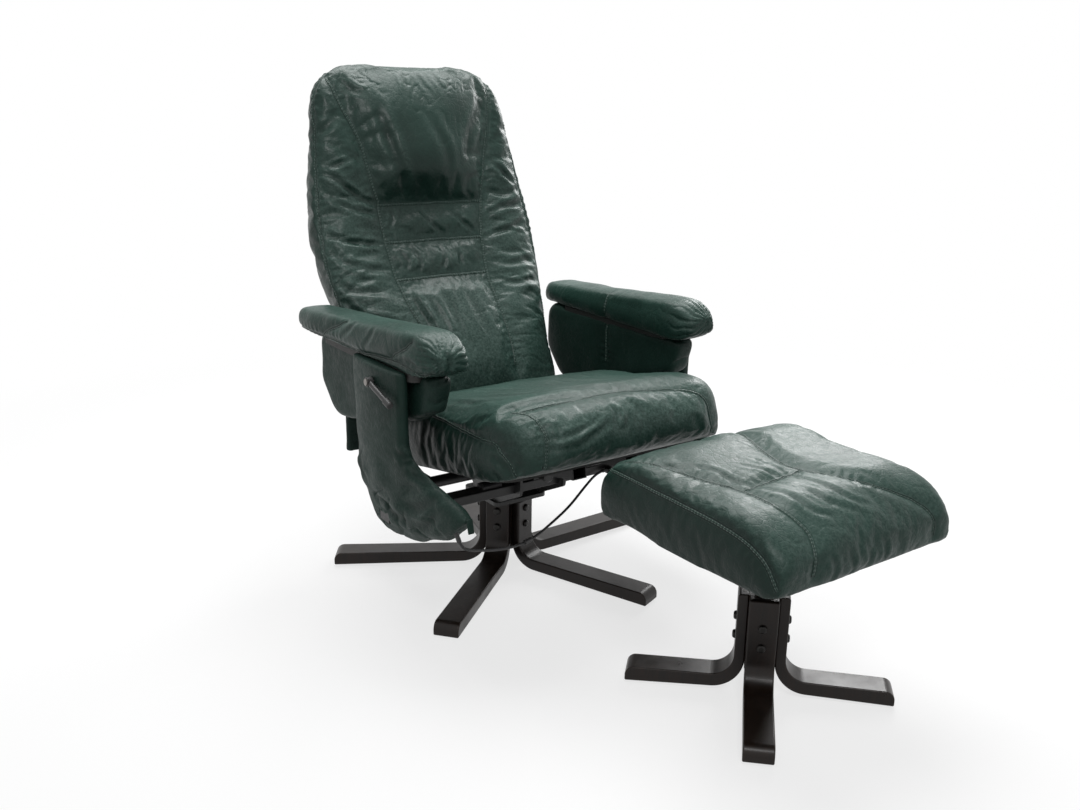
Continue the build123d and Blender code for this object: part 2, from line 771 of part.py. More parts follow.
eye_play = gas_pin_radius + running_fit + gas_eye_slack / 2
pin_lift = gas_lever * (1 - cos(radians(recline_limit)))
eye = along_x(-gas_eye_width / 2, gas_eye_width / 2, pivot_y, gas_axis_z, gas_eye_radius)
gas_rod = along_y(0, rod_inner_y, pivot_y - gas_eye_radius / 2, gas_axis_z, gas_rod_radius) + eye
eye_slot = block(-overrun, overrun, pivot_y - eye_play, pivot_y + eye_play, gas_axis_z - eye_play,
                 gas_axis_z + eye_play + pin_lift)
gas_rod -= fillet(eye_slot.edges().filter_by(Axis.X), eye_play * round_share)
write("gas_rod", gas_rod)


# Arms: a board, a roll on it, a pad beside the seat and a leather sleeve round the bracket
# One row a section, rear to nose: place, half width, low edge, side height, crown height
arm_section_shares = (
    (0.000, 0.42, 0.08, 0.28, 0.34),
    (0.013, 0.71, 0.01, 0.39, 0.49),
    (0.065, 0.92, 0.00, 0.42, 0.57),
    (0.242, 0.98, 0.00, 0.45, 0.66),
    (0.466, 0.98, 0.00, 0.51, 0.77),
    (0.689, 0.98, 0.00, 0.62, 0.91),
    (0.838, 1.00, 0.00, 0.69, 0.99),
    (0.922, 0.96, 0.01, 0.62, 0.96),
    (0.972, 0.83, 0.12, 0.50, 0.77),
    (1.000, 0.54, 0.26, 0.50, 0.61),
)
arm_bulge_share = 0.11
arm_shoulder_share = 0.55
arm_toe_place_share = 0.15
arm_board_toe_share = 0.5
arm_board_corner_share = 0.6


def arm_roll():
    length = arm_rear_y - arm_nose_y
    height = arm_high - arm_low
    half = (arm_outer_x - arm_inner_x) / 2
    sections = []
    for place, width, low, side, crown in arm_section_shares:
        centre_x = -(arm_inner_x + arm_outer_x) / 2 + arm_toe_in * (place - arm_toe_place_share)
        sections.append(pad_section(
            across_y(centre_x, arm_rear_y - place * length),
            half * width * (1 - arm_bulge_share),
            arm_low + height * low,
            arm_low + height * side,
            arm_low + height * crown,
            half * width * arm_bulge_share,
            arm_shoulder_share,
        ))
    return loft(sections)


arm_centre_x = (arm_inner_x + arm_outer_x) / 2 - arm_toe_in * arm_board_toe_share
arm_board = block(-arm_centre_x - arm_board_half_width, -arm_centre_x + arm_board_half_width,
                  arm_board_front, arm_board_rear, bracket_top, bracket_top + arm_board_thickness)
arm_board = fillet(arm_board.edges().filter_by(Axis.Z), arm_board_half_width * arm_board_corner_share)
both_sides("arm_board", arm_board)
both_sides("arm_roll", flat_below(arm_roll(), arm_low))

# The pad's outline, given as Y and Z
side_pad_outline = (
    (220.0, arm_low),
    (223.0, 395.0),
    (158.0, 330.0),
    (60.0, 345.0),
    (-150.0, 400.0),
    (-214.0, 425.0),
    (-238.0, arm_low),
)
side_pad_bends = (30.0, 45.0, 45.0, 60.0, 120.0, 30.0, 14.0)
side_pad = side_plate(-side_pad_outer_x, -side_pad_inner_x, side_pad_outline, side_pad_bends)
pad_faces = side_pad.faces().sort_by(Axis.X)
side_pad = fillet(pad_faces[0].edges() + pad_faces[-1].edges(), side_pad_crown)
side_pad -= block(-bracket_outer_x, -bracket_outer_x + bracket_reach, beam_front_y, beam_rear_y,
                  bracket_top - bracket_thickness, bracket_top) + arm_board
both_sides("arm_side_pad", side_pad)

# One row a section, downwards: rear Y and Z, front Y and Z, inset in X, half depth
sleeve_rows = (
    (0.0, arm_low, -185.0, arm_low, 4.0, 20.0),
    (-4.0, 400.0, -185.0, 400.0, 4.0, 20.0),
    (-6.0, 360.0, -186.0, 371.0, 4.5, 20.4),
    (-8.0, 320.0, -190.0, 345.0, 6.0, 21.0),
    (-6.0, 291.0, -202.0, 338.0, 8.0, 22.0),
    (-14.0, 256.0, -215.0, 331.0, 10.0, 23.5),
    (-34.0, 221.0, -232.0, 325.0, 14.0, 25.0),
    (-62.0, 193.0, -250.0, 318.0, 18.0, 26.0),
    (-86.0, 180.0, -268.0, 311.0, 22.0, 26.0),
    (-120.0, 178.0, -287.0, 304.0, 26.0, 25.0),
    (-200.0, 190.0, -320.0, 291.0, 33.0, 22.0),
    (-285.0, 224.0, -345.0, 278.0, sleeve_hem_inset, 17.0),
)
sleeve_edge_share = 0.55
sleeve_turn_share = 0.7


def sleeve_section(rear_y, rear_z, front_y, front_z, inset, half_depth):
    """One flat section of the sleeve, long from rear to front and thin sideways."""
    half = hypot(front_y - rear_y, front_z - rear_z) / 2
    along = (0, front_y - rear_y, front_z - rear_z)
    origin = (inset - bracket_outer_x, (rear_y + front_y) / 2, (rear_z + front_z) / 2)
    normal = Vector(1, 0, 0).cross(Vector(*along))
    place = Plane(origin=origin, x_dir=along, z_dir=normal)
    edge = half_depth * sleeve_edge_share
    turn = half - edge * sleeve_turn_share
    outline = Curve() + [
        ThreePointArc((-turn, -edge), (0, -half_depth), (turn, -edge)),
        ThreePointArc((turn, -edge), (half, 0), (turn, edge)),
        ThreePointArc((turn, edge), (0, half_depth), (-turn, edge)),
        ThreePointArc((-turn, edge), (-half, 0), (-turn, -edge)),
    ]
    return place * make_face(outline)


cable_start = Vector(*cable_route[0])
cable_heading = (Vector(*cable_route[1]) - cable_start).normalized()


def cylinder_between(start, end, radius):
    """A cylinder from one point to another."""
    heading = end - start
    place = Plane(origin=start, z_dir=heading.normalized())
    return extrude(place * Circle(radius), amount=heading.length)


ferrule_top = cable_start - cable_heading * (ferrule_length - ferrule_bore_depth)
ferrule_end = cable_start + cable_heading * ferrule_bore_depth
ferrule = cylinder_between(ferrule_top, ferrule_end, ferrule_radius)


def sleeve():
    body = loft([sleeve_section(*row) for row in sleeve_rows], ruled=True)
    body -= block(-bracket_outer_x - sleeve_clearance, -bracket_inner_x + sleeve_clearance,
                  beam_front_y - sleeve_clearance, beam_rear_y + sleeve_clearance,
                  beam_bottom - sleeve_clearance, bracket_top)
    body -= block(-bracket_outer_x - sleeve_clearance, -bracket_outer_x + bracket_reach,
                  beam_front_y - sleeve_clearance, beam_rear_y + sleeve_clearance,
                  bracket_top - bracket_bend, bracket_top)
    body -= arm_board
    body -= block(-bracket_outer_x, 0, beam_front_y - sleeve_clearance, beam_rear_y + sleeve_clearance,
                  beam_bottom - sleeve_clearance, beam_top + sleeve_clearance)
    return body


pin_hole = along_x(-arm_outer_x - overrun * 2, -bracket_inner_x, lever_pin_y, lever_pin_z,
                   lever_pin_radius + running_fit)
write("arm_sleeve_right", sleeve() - pin_hole - ferrule)
write("arm_sleeve_left", mirrored(sleeve()))

strap_y, strap_z = sleeve_rows[-1][2:4]
strap_lean = strap_length * strap_lean_share
strap = side_plate(
    -sleeve_hem_x - strap_width / 2,
    -sleeve_hem_x + strap_width / 2,
    (
        (strap_y, strap_z + strap_thickness),
        (strap_y - strap_lean, strap_z - strap_length),
        (strap_y - strap_lean + strap_thickness, strap_z - strap_length),
        (strap_y + strap_thickness, strap_z + strap_thickness),
    ),
    (0, strap_thickness / 3, strap_thickness / 3, 0),
)
write("sleeve_strap", strap - sleeve())

# Recline lever: a pin through the bracket, a droop-ended bar with its boss, and a knob
lever_hub_inner = arm_outer_x + lever_gap
lever_hub_outer = lever_hub_inner + lever_hub_length
lever_x = -(lever_hub_inner + lever_hub_outer) / 2
pin = along_x(-lever_hub_outer, -bracket_inner_x, lever_pin_y, lever_pin_z, lever_pin_radius)
pin += along_x(-lever_hub_outer - lever_pin_head, -lever_hub_outer - running_fit, lever_pin_y,
               lever_pin_z, lever_pin_radius + lever_pin_head)
write("lever_pin", pin)
lever_centre = Vector(lever_x, lever_pin_y, lever_pin_z)
lever_heading = Vector(0, -cos(radians(lever_droop)), -sin(radians(lever_droop)))
lever_tip = lever_centre + lever_heading * lever_length
lever_end = lever_tip - lever_heading * (lever_knob_length / 3)
lever = cylinder_between(lever_centre, lever_end, lever_bar_radius)
lever += along_x(-lever_hub_outer, -lever_hub_inner, lever_pin_y, lever_pin_z, lever_hub_radius)
lever -= along_x(-lever_hub_outer - overrun, -lever_hub_inner + overrun, lever_pin_y, lever_pin_z,
                 lever_pin_radius + running_fit)
write("release_lever", lever)
knob = cylinder_between(lever_tip - lever_heading * lever_knob_length, lever_tip, lever_knob_radius)
knob = fillet(knob.edges(), lever_knob_radius / 3)
write("lever_knob", knob - lever)


# Release cable and its end fittings
def turn_radii(points):
    """The bend radius at each inner corner, as large as the two runs beside it allow."""
    radii = []
    for before, corner, after in zip(points, points[1:], points[2:]):
        one = Vector(*corner) - Vector(*before)
        two = Vector(*after) - Vector(*corner)
        half_turn = radians(one.get_angle(two)) / 2
        radii.append(cable_slack_share * min(one.length, two.length) / tan(half_turn))
    return radii


cable_radii = turn_radii(cable_route)
cable_path = FilletPolyline(*cable_route, radius=cable_radii)
cable_plane = Plane(origin=cable_route[0], z_dir=cable_heading)
cable = sweep(cable_plane * Circle(cable_radius), path=cable_path)
cable_section = Circle(cable_radius).area
print("cable radii", [round(r) for r in cable_radii])
cable_fill = cable.volume / (cable_section * cable_path.length)
print("cable length", round(cable_path.length), "share of volume", cable_fill)
write("release_cable", cable)

bore = cylinder_between(cable_start, ferrule_end + cable_heading * overrun, cable_radius)
exit_ferrule = ferrule - bore

adjuster_from = Vector(*cable_route[adjuster_run])
adjuster_to = Vector(*cable_route[adjuster_run + 1])
adjuster_heading = (adjuster_to - adjuster_from).normalized()
adjuster_middle = (adjuster_from + adjuster_to) / 2
adjuster_half = adjuster_heading * (adjuster_length / 2)
adjuster = cylinder_between(adjuster_middle - adjuster_half, adjuster_middle + adjuster_half,
                            adjuster_radius)
adjuster = chamfer(adjuster.edges(), adjuster_radius / 5)
write("cable_adjuster", adjuster - cylinder_between(adjuster_middle - adjuster_half * 2,
                                                    adjuster_middle + adjuster_half * 2,
                                                    cable_radius + adjuster_fit))

anchor = block(anchor_x - anchor_thickness, anchor_x, beam_front_y - anchor_reach, beam_front_y,
               anchor_z - anchor_height / 2, anchor_z + anchor_height / 2)
anchor = fillet(anchor.edges().filter_by(Axis.X).group_by(Axis.Y)[0], anchor_height / 4)
end_y = cable_route[-1][1]
end_ferrule = along_x(anchor_x - anchor_thickness - anchor_ferrule_length, anchor_x + anchor_thickness,
                      end_y, anchor_z, ferrule_radius)
end_bore = along_x(anchor_x - anchor_ferrule_length * 2, cable_route[-1][0], end_y, anchor_z, cable_radius)
write("cable_anchor", anchor - end_ferrule)
write("cable_ferrules", group([exit_ferrule, end_ferrule - end_bore]))


# Footstool: star base, post, plate and a cushion over a board
stool_hub = star_base("stool", stool_leg_count, stool_first_leg_turn, stool_hub_apothem,
                      stool_board_top, stool_star_radius, stool_place)
post_foot = (hub_bottom + stool_board_top) / 2
stool_plate_bottom = stool_bottom - stool_plate_thickness
stool_hub -= upright(0, 0, post_foot, stool_board_top + overrun, stool_post_radius)
write("stool_hub", stool_place * stool_hub)
write("stool_post", stool_place * upright(0, 0, post_foot, stool_plate_bottom, stool_post_radius))

screw_places = [
    (sx * stool_plate_half * screw_place_share, sy * stool_plate_half * screw_place_share)
    for sx in (-1, 1)
    for sy in (-1, 1)
]
screw_radius = screw_head_radius / 2
screw_top = stool_bottom + stool_board_thickness * screw_depth_share
screw_holes = [
    upright(x, y, stool_plate_bottom - overrun, screw_top, screw_radius) for x, y in screw_places
]
plate = block(-stool_plate_half, stool_plate_half, -stool_plate_half, stool_plate_half,
              stool_plate_bottom, stool_bottom)
plate = fillet(plate.edges().filter_by(Axis.Z), plate_corner)
stool_board = block(-stool_half_width + 2 * stool_board_inset, stool_half_width - 2 * stool_board_inset,
                    -stool_half_depth + 2 * stool_board_inset, stool_half_depth - 2 * stool_board_inset,
                    stool_bottom, stool_bottom + stool_board_thickness)
stool_board = fillet(stool_board.edges().filter_by(Axis.Z), 2 * stool_board_inset)
stool_recess = stool_board
screws = []
for hole, (x, y) in zip(screw_holes, screw_places):
    plate -= hole
    stool_board -= hole
    head = upright(x, y, stool_plate_bottom - screw_head_height, stool_plate_bottom, screw_head_radius)
    head = fillet(head.faces().sort_by(Axis.Z)[0].edges(), screw_head_height * screw_dome_share)
    screws.append(stool_place * (head + upright(x, y, stool_plate_bottom, screw_top, screw_radius)))
write("stool_plate", stool_place * plate)
write("stool_board", stool_place * stool_board)
write("stool_screws", group(screws))

# One row a section, front to back: place, half width, low edge, side height, crown height
stool_section_shares = (
    (0.000, 0.930, 0.14, 0.31, 0.55),
    (0.065, 0.975, 0.00, 0.68, 0.77),
    (0.167, 0.995, 0.00, 0.90, 0.98),
    (0.347, 1.000, 0.00, 0.99, 1.05),
    (0.621, 1.000, 0.00, 1.02, 1.07),
    (0.918, 0.985, 0.00, 0.86, 0.97),
    (0.980, 0.950, 0.05, 0.70, 0.78),
    (1.000, 0.900, 0.20, 0.56, 0.62),
)


def stool_cushion():
    sections = []
    for place, width, low, side, crown in stool_section_shares:
        sections.append(pad_section(
            across_y(0, -stool_half_depth + place * 2 * stool_half_depth),
            stool_half_width * (width - seat_bulge_share),
            stool_bottom + stool_side_height * (low - seat_tuck_share),
            stool_bottom + stool_side_height * side,
            stool_bottom + stool_crown_height * crown,
            stool_half_width * seat_bulge_share,
            seat_shoulder_share,
        ))
    return flat_below(loft(sections), stool_bottom)


write("stool_cushion", stool_place * (stool_cushion() - stool_recess))
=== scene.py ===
import json
import math

import bpy
import numpy as np
from mathutils import Matrix, Vector, noise
from mathutils.bvhtree import BVHTree
from mathutils.kdtree import KDTree


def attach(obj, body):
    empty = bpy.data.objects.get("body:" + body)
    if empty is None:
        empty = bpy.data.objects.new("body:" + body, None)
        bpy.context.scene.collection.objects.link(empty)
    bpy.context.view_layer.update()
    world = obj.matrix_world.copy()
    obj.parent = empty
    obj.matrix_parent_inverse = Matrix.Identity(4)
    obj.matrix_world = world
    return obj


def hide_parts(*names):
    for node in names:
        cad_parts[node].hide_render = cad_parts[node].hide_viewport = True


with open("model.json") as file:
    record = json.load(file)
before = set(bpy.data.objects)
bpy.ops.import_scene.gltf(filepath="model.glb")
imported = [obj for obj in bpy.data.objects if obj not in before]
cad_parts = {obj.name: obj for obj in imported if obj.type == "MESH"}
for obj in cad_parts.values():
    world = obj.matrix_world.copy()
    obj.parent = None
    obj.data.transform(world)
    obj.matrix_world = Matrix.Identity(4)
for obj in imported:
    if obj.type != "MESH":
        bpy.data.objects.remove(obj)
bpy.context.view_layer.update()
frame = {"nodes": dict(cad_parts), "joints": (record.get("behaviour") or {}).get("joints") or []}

# A green leather swivel recliner with its footstool. Lengths that are named in millimetres
# are in the chair's own frame, whose origin lies on the floor under the swivel.
MM = 0.001
nodes = frame["nodes"]
swivel = next(joint for joint in frame["joints"] if joint["name"] == "swivel")
AXIS_Y = swivel["pos_m"][1]


def place(x, y, z):
    """A point given in millimetres in the chair's frame, in metres in the row's frame."""
    return Vector((x * MM, y * MM + AXIS_Y, z * MM))


# Camera, fitted to the photograph
CAMERA_EYE = place(-1147.7, -1776.1, 980.2)
CAMERA_RIGHT = Vector((0.8029, -0.5955, 0.0250))
CAMERA_UP = Vector((0.1540, 0.2478, 0.9565))
CAMERA_BACK = Vector((-0.5758, -0.7641, 0.2907))
camera_data = bpy.data.cameras.new("camera")
camera = bpy.data.objects.new("camera", camera_data)
bpy.context.scene.collection.objects.link(camera)
camera_data.sensor_width = 36.0
camera_data.lens = 35.9
camera_data.shift_x = -0.0368
camera_data.shift_y = 0.0045
turn = Matrix((CAMERA_RIGHT, CAMERA_UP, CAMERA_BACK)).transposed()
camera.matrix_world = Matrix.Translation(CAMERA_EYE) @ turn.to_4x4()
bpy.context.scene.camera = camera


# Node trees
def cleared(tree, kind="ShaderNodeOutputMaterial"):
    """Empties a node tree and gives it a new output."""
    tree.nodes.clear()
    return tree.nodes.new(kind)


def add(tree, kind, **inputs):
    """A node with its sockets set. Other keywords that are not sockets are properties."""
    node = tree.nodes.new(kind)
    for key, value in inputs.items():
        if key in node.inputs:
            node.inputs[key].default_value = value
        else:
            setattr(node, key, value)
    return node


def new_material(name):
    """A material whose node tree has only its output and one principled shader."""
    material = bpy.data.materials.new(name)
    material.use_nodes = True
    tree = material.node_tree
    output = cleared(tree)
    shader = add(tree, "ShaderNodeBsdfPrincipled")
    tree.links.new(shader.outputs["BSDF"], output.inputs["Surface"])
    return material, tree, shader


def object_coordinates(tree, scale=(1, 1, 1)):
    source = add(tree, "ShaderNodeTexCoord")
    mapping = add(tree, "ShaderNodeMapping")
    mapping.inputs["Scale"].default_value = scale
    tree.links.new(source.outputs["Object"], mapping.inputs["Vector"])
    return mapping.outputs["Vector"]


def textured(tree, kind, vector, output="Fac", **inputs):
    node = add(tree, kind, **inputs)
    tree.links.new(vector, node.inputs["Vector"])
    return node.outputs[output]


def ramp(tree, factor, stops):
    """A colour ramp from (position, value) or (position, colour) stops."""
    node = add(tree, "ShaderNodeValToRGB")
    elements = node.color_ramp.elements
    while len(elements) < len(stops):
        elements.new(0.5)
    for element, (position, colour) in zip(elements, stops):
        element.position = position
        if isinstance(colour, (int, float)):
            colour = (colour, colour, colour)
        element.color = (*colour, 1)
    tree.links.new(factor, node.inputs["Fac"])
    return node.outputs["Color"]


def mixed(tree, factor, first, second):
    """A mix of two colours, each a socket or a colour, by a socket."""
    node = add(tree, "ShaderNodeMix", data_type="RGBA")
    tree.links.new(factor, node.inputs[0])
    sockets = [socket for socket in node.inputs if socket.type == "RGBA"]
    for socket, value in zip(sockets, (first, second)):
        if isinstance(value, bpy.types.NodeSocket):
            tree.links.new(value, socket)
        else:
            socket.default_value = (*value, 1)
    return next(socket for socket in node.outputs if socket.type == "RGBA")


def combined(tree, operation, first, second):
    """Two sockets joined by one step of arithmetic."""
    node = add(tree, "ShaderNodeMath", operation=operation)
    tree.links.new(first, node.inputs[0])
    tree.links.new(second, node.inputs[1])
    return node.outputs["Value"]


def blended(tree, share, first, second):
    """A mix of two shaders, in which a socket gives the second one's share."""
    node = add(tree, "ShaderNodeMixShader")
    tree.links.new(share, node.inputs["Fac"])
    tree.links.new(first, node.inputs[1])
    tree.links.new(second, node.inputs[2])
    return node.outputs["Shader"]


def bumped(tree, shader, layers):
    """Bumps in a row, given as height, strength and distance in metres."""
    normal = None
    for height, strength, distance in layers:
        node = add(tree, "ShaderNodeBump", Strength=strength, Distance=distance)
        tree.links.new(height, node.inputs["Height"])
        if normal is not None:
            tree.links.new(normal, node.inputs["Normal"])
        normal = node.outputs["Normal"]
    tree.links.new(normal, shader.inputs["Normal"])


def shaded(colour, share):
    return tuple(channel * share for channel in colour)


# Materials
LEATHER_DARK = (0.0080, 0.0270, 0.0200)
LEATHER_MAIN = (0.0170, 0.0480, 0.0370)
# Lighter grey-green, for real wear and also for painted sheen
LEATHER_WEAR_AND_SHEEN = (0.0750, 0.1240, 0.1060)
# Painted shade in folds, seams and on sideways faces darkens the leather to this share of its dark colour
PAINTED_SHADE_SHARE = 0.16
WOOD_DARK = (0.0045, 0.0030, 0.0022)
WOOD_LIGHT = (0.0160, 0.0085, 0.0055)
WOOD_WORN = (0.085, 0.042, 0.022)


def leather_material(name, shade=1.0, gloss=0.40, coat=0.07):
    """Grained leather, lighter where its mesh's wear layer holds real wear and painted sheen, and darker
    where its painted shade layer lies; a shade below 1 paints the whole copy darker.
    """
    material, tree, shader = new_material(name)
    vector = object_coordinates(tree)
    cloud = textured(tree, "ShaderNodeTexNoise", vector, Scale=6.0, Detail=6.0, Roughness=0.62)
    fine = textured(tree, "ShaderNodeTexNoise", vector, Scale=70.0, Detail=7.0, Roughness=0.68)
    rubs = textured(tree, "ShaderNodeTexNoise", vector, Scale=190.0, Detail=6.0, Roughness=0.75)
    grain = textured(tree, "ShaderNodeTexVoronoi", vector, "Distance", Scale=560.0)
    pores = textured(tree, "ShaderNodeTexNoise", vector, Scale=1500.0, Detail=3.0)
    crackle = textured(tree, "ShaderNodeTexVoronoi", vector, "Distance", Scale=85.0,
                       feature="DISTANCE_TO_EDGE")
    crease_lines = ramp(tree, crackle, ((0.0, 0.0), (0.12, 1.0)))
    dark = shaded(LEATHER_DARK, shade)
    patches = ramp(tree, cloud, ((0.34, 0.0), (0.62, 1.0)))
    colour = mixed(tree, patches, dark, shaded(LEATHER_MAIN, shade))
    # The wear layer lightens the leather for real wear and also paints sheen on faces that catch the light
    wear_and_sheen_layer = add(tree, "ShaderNodeAttribute", attribute_name="wear_and_sheen")
    speckle = ramp(tree, rubs, ((0.40, 0.15), (0.64, 1.0)))
    wear_and_sheen_share = combined(tree, "MULTIPLY", wear_and_sheen_layer.outputs["Fac"], speckle)
    colour = mixed(tree, wear_and_sheen_share, colour, shaded(LEATHER_WEAR_AND_SHEEN, shade))
    # Painted shade: the mesh's shade layer darkens the colour towards near black in grooves, valleys and on
    # sideways faces
    shade_layer = add(tree, "ShaderNodeAttribute", attribute_name="painted_shade")
    colour = mixed(tree, shade_layer.outputs["Fac"], colour, shaded(dark, PAINTED_SHADE_SHARE))
    tree.links.new(colour, shader.inputs["Base Color"])
    sheen_range = ramp(tree, fine, ((0.25, gloss - 0.08), (0.75, gloss + 0.14)))
    tree.links.new(sheen_range, shader.inputs["Roughness"])
    shader.inputs["Specular IOR Level"].default_value = 0.18
    shader.inputs["Coat Weight"].default_value = coat
    shader.inputs["Coat Roughness"].default_value = 0.26
    bumped(tree, shader, (
        (grain, 0.30, 0.00045),
        (pores, 0.12, 0.0002),
        (fine, 0.25, 0.0012),
        (crease_lines, 0.30, 0.0007),
    ))
    return material


def wood_material(name):
    """Dark stained wood with upright streaks, rubbed lighter along its edges."""
    material, tree, shader = new_material(name)
    vector = object_coordinates(tree)
    streaks = textured(tree, "ShaderNodeTexNoise", object_coordinates(tree, (90, 90, 14)),
                       Scale=1.0, Detail=8.0, Roughness=0.7, Distortion=0.6)
    blotch = textured(tree, "ShaderNodeTexNoise", vector, Scale=16.0, Detail=5.0)
    colour = ramp(tree, streaks, ((0.3, WOOD_DARK), (0.75, WOOD_LIGHT)))
    soft_normal = add(tree, "ShaderNodeBevel", samples=6, Radius=0.0028)
    geometry = add(tree, "ShaderNodeNewGeometry")
    likeness = add(tree, "ShaderNodeVectorMath", operation="DOT_PRODUCT")
    tree.links.new(soft_normal.outputs["Normal"], likeness.inputs[0])
    tree.links.new(geometry.outputs["True Normal"], likeness.inputs[1])
    edge = ramp(tree, likeness.outputs["Value"], ((0.90, 1.0), (0.995, 0.0)))
    chips = ramp(tree, textured(tree, "ShaderNodeTexNoise", vector, Scale=110.0, Detail=6.0),
                 ((0.42, 0.0), (0.62, 1.0)))
    colour = mixed(tree, combined(tree, "MULTIPLY", edge, chips), colour, WOOD_WORN)
    tree.links.new(colour, shader.inputs["Base Color"])
    tree.links.new(ramp(tree, blotch, ((0.3, 0.26), (0.75, 0.48))), shader.inputs["Roughness"])
    shader.inputs["Specular IOR Level"].default_value = 0.25
    shader.inputs["Coat Weight"].default_value = 0.08
    shader.inputs["Coat Roughness"].default_value = 0.20
    bumped(tree, shader, ((streaks, 0.20, 0.0006), (blotch, 0.1, 0.001)))
    return material


def plain_material(name, colour, roughness, metallic=0.0, spots=300.0):
    """Paint, bare metal, plastic, rubber, thread or board, with a fine uneven skin."""
    material, tree, shader = new_material(name)
    vector = object_coordinates(tree)
    peel = textured(tree, "ShaderNodeTexNoise", vector, Scale=spots, Detail=4.0)
    broad = textured(tree, "ShaderNodeTexNoise", vector, Scale=22.0, Detail=4.0)
    light = tuple(min(1.0, channel * 1.5 + 0.004) for channel in colour)
    patches = ramp(tree, broad, ((0.35, 0.0), (0.7, 1.0)))
    tree.links.new(mixed(tree, patches, colour, light), shader.inputs["Base Color"])
    tree.links.new(ramp(tree, peel, ((0.3, roughness - 0.06), (0.7, roughness + 0.1))),
                   shader.inputs["Roughness"])
    shader.inputs["Metallic"].default_value = metallic
    bumped(tree, shader, ((peel, 0.12, 0.0002),))
    return material


leather = leather_material("leather_green")
# Copies of the same leather whose shade below 1 paints them darker: painted shade on the back and the seam
# strips, and most on the side pads, sleeves, skirt and strap
leather_back_shaded = leather_material("leather_back_shaded", shade=0.85, gloss=0.36, coat=0.13)
leather_matt_shaded = leather_material("leather_matt_shaded", shade=0.62, gloss=0.52, coat=0.02)
leather_seam_shaded = leather_material("leather_seam_shaded", shade=0.80, gloss=0.36)
thread = plain_material("thread", (0.090, 0.130, 0.112), roughness=0.5, spots=2400.0)
dark_board = plain_material("dark_board", (0.012, 0.012, 0.011), roughness=0.6, spots=500.0)
wood = wood_material("stained_wood")
black_steel = plain_material("black_steel", (0.010, 0.010, 0.010), roughness=0.42)
zinc = plain_material("zinc_steel", (0.16, 0.15, 0.14), roughness=0.38, metallic=1.0)
bolt_black = plain_material("bolt_black", (0.012, 0.011, 0.010), roughness=0.34, metallic=0.6)
chrome = plain_material("bright_steel", (0.55, 0.55, 0.55), roughness=0.16, metallic=1.0)
plastic = plain_material("black_plastic", (0.012, 0.012, 0.012), roughness=0.5, spots=700.0)
rubber = plain_material("black_rubber", (0.010, 0.010, 0.011), roughness=0.62, spots=900.0)

NODE_MATERIALS = {
    wood: ["base_hub", "stool_hub"] + [f"base_leg_{k}" for k in range(1, 6)]
    + [f"stool_leg_{k}" for k in range(1, 5)],
    bolt_black: ["base_leg_bolts", "stool_leg_bolts"],
    zinc: ["hinge_pins", "gas_pin", "lever_pin", "swivel_spindle", "stool_screws"],
    plastic: ["cable_ferrules", "cable_adjuster", "base_glides", "stool_glides", "swivel_bush",
              "lever_knob"],
    black_steel: ["swivel_plate", "seat_risers", "cross_beam", "rear_cross_tube", "seat_rails",
                  "hinge_arms", "arm_bracket_right", "arm_bracket_left", "gas_saddle",
                  "cable_anchor", "back_frame", "back_lugs", "back_crossbar", "gas_clevis",
                  "stool_post", "stool_plate", "release_lever", "gas_cylinder"],
    chrome: ["gas_rod"],
    rubber: ["beam_bumper"],
    dark_board: ["arm_board_right", "arm_board_left", "seat_pan", "stool_board"],
}
for material, names in NODE_MATERIALS.items():
    for name in names:
        mesh = nodes[name].data
        mesh.materials.clear()
        mesh.materials.append(material)


# Release cable: its route, in millimetres, hangs from the sleeve to the beam's far side
CABLE_ROUTE = (
    (-292.0, -307.0, 231.0),
    (-285.0, -305.0, 213.5),
    (-264.0, -297.0, 200.0),
    (-222.0, -270.0, 179.0),
    (-162.0, -236.0, 153.0),
    (-98.0, -202.0, 133.0),
    (-42.0, -175.0, 127.0),
    (14.0, -153.0, 137.0),
    (66.0, -140.0, 156.0),
    (108.0, -133.0, 187.0),
    (142.0, -132.0, 213.0),
    (164.0, -132.0, 213.0),
)
CABLE_DIAMETER = 5.2 * MM

cable_curve = bpy.data.curves.new("cable", "CURVE")
cable_curve.dimensions = "3D"
spline = cable_curve.splines.new("NURBS")
spline.points.add(len(CABLE_ROUTE) - 1)
for control, point in zip(spline.points, CABLE_ROUTE):
    control.co = (*place(*point), 1)
spline.order_u = 3
spline.use_endpoint_u = True
spline.resolution_u = 16
cable_curve.bevel_depth = CABLE_DIAMETER / 2
cable_curve.bevel_resolution = 5
cable_curve.use_fill_caps = True
cable = bpy.data.objects.new("release_cable_sheath", cable_curve)
bpy.context.scene.collection.objects.link(cable)
cable.data.materials.append(rubber)
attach(cable, "carrier")
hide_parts("release_cable")


# Meshes of the soft pieces
LINE_STEP = 0.004
CURVE_PARTS = 14
TINY = 1e-12


def link_mesh(name, mesh, material):
    piece = bpy.data.objects.new(name, mesh)
    bpy.context.scene.collection.objects.link(piece)
    mesh.materials.clear()
    mesh.materials.append(material)
    return piece


def evaluated(piece):
    """The piece's mesh with its modifiers applied."""
    graph = bpy.context.evaluated_depsgraph_get()
    return bpy.data.meshes.new_from_object(piece.evaluated_get(graph))


def with_modifier(piece, kind, **settings):
    """Applies one modifier to the piece's mesh."""
    modifier = piece.modifiers.new(kind.lower(), kind)
    for key, value in settings.items():
        setattr(modifier, key, value)
    mesh = evaluated(piece)
    piece.modifiers.remove(modifier)
    old = piece.data
    piece.data = mesh
    bpy.data.meshes.remove(old)


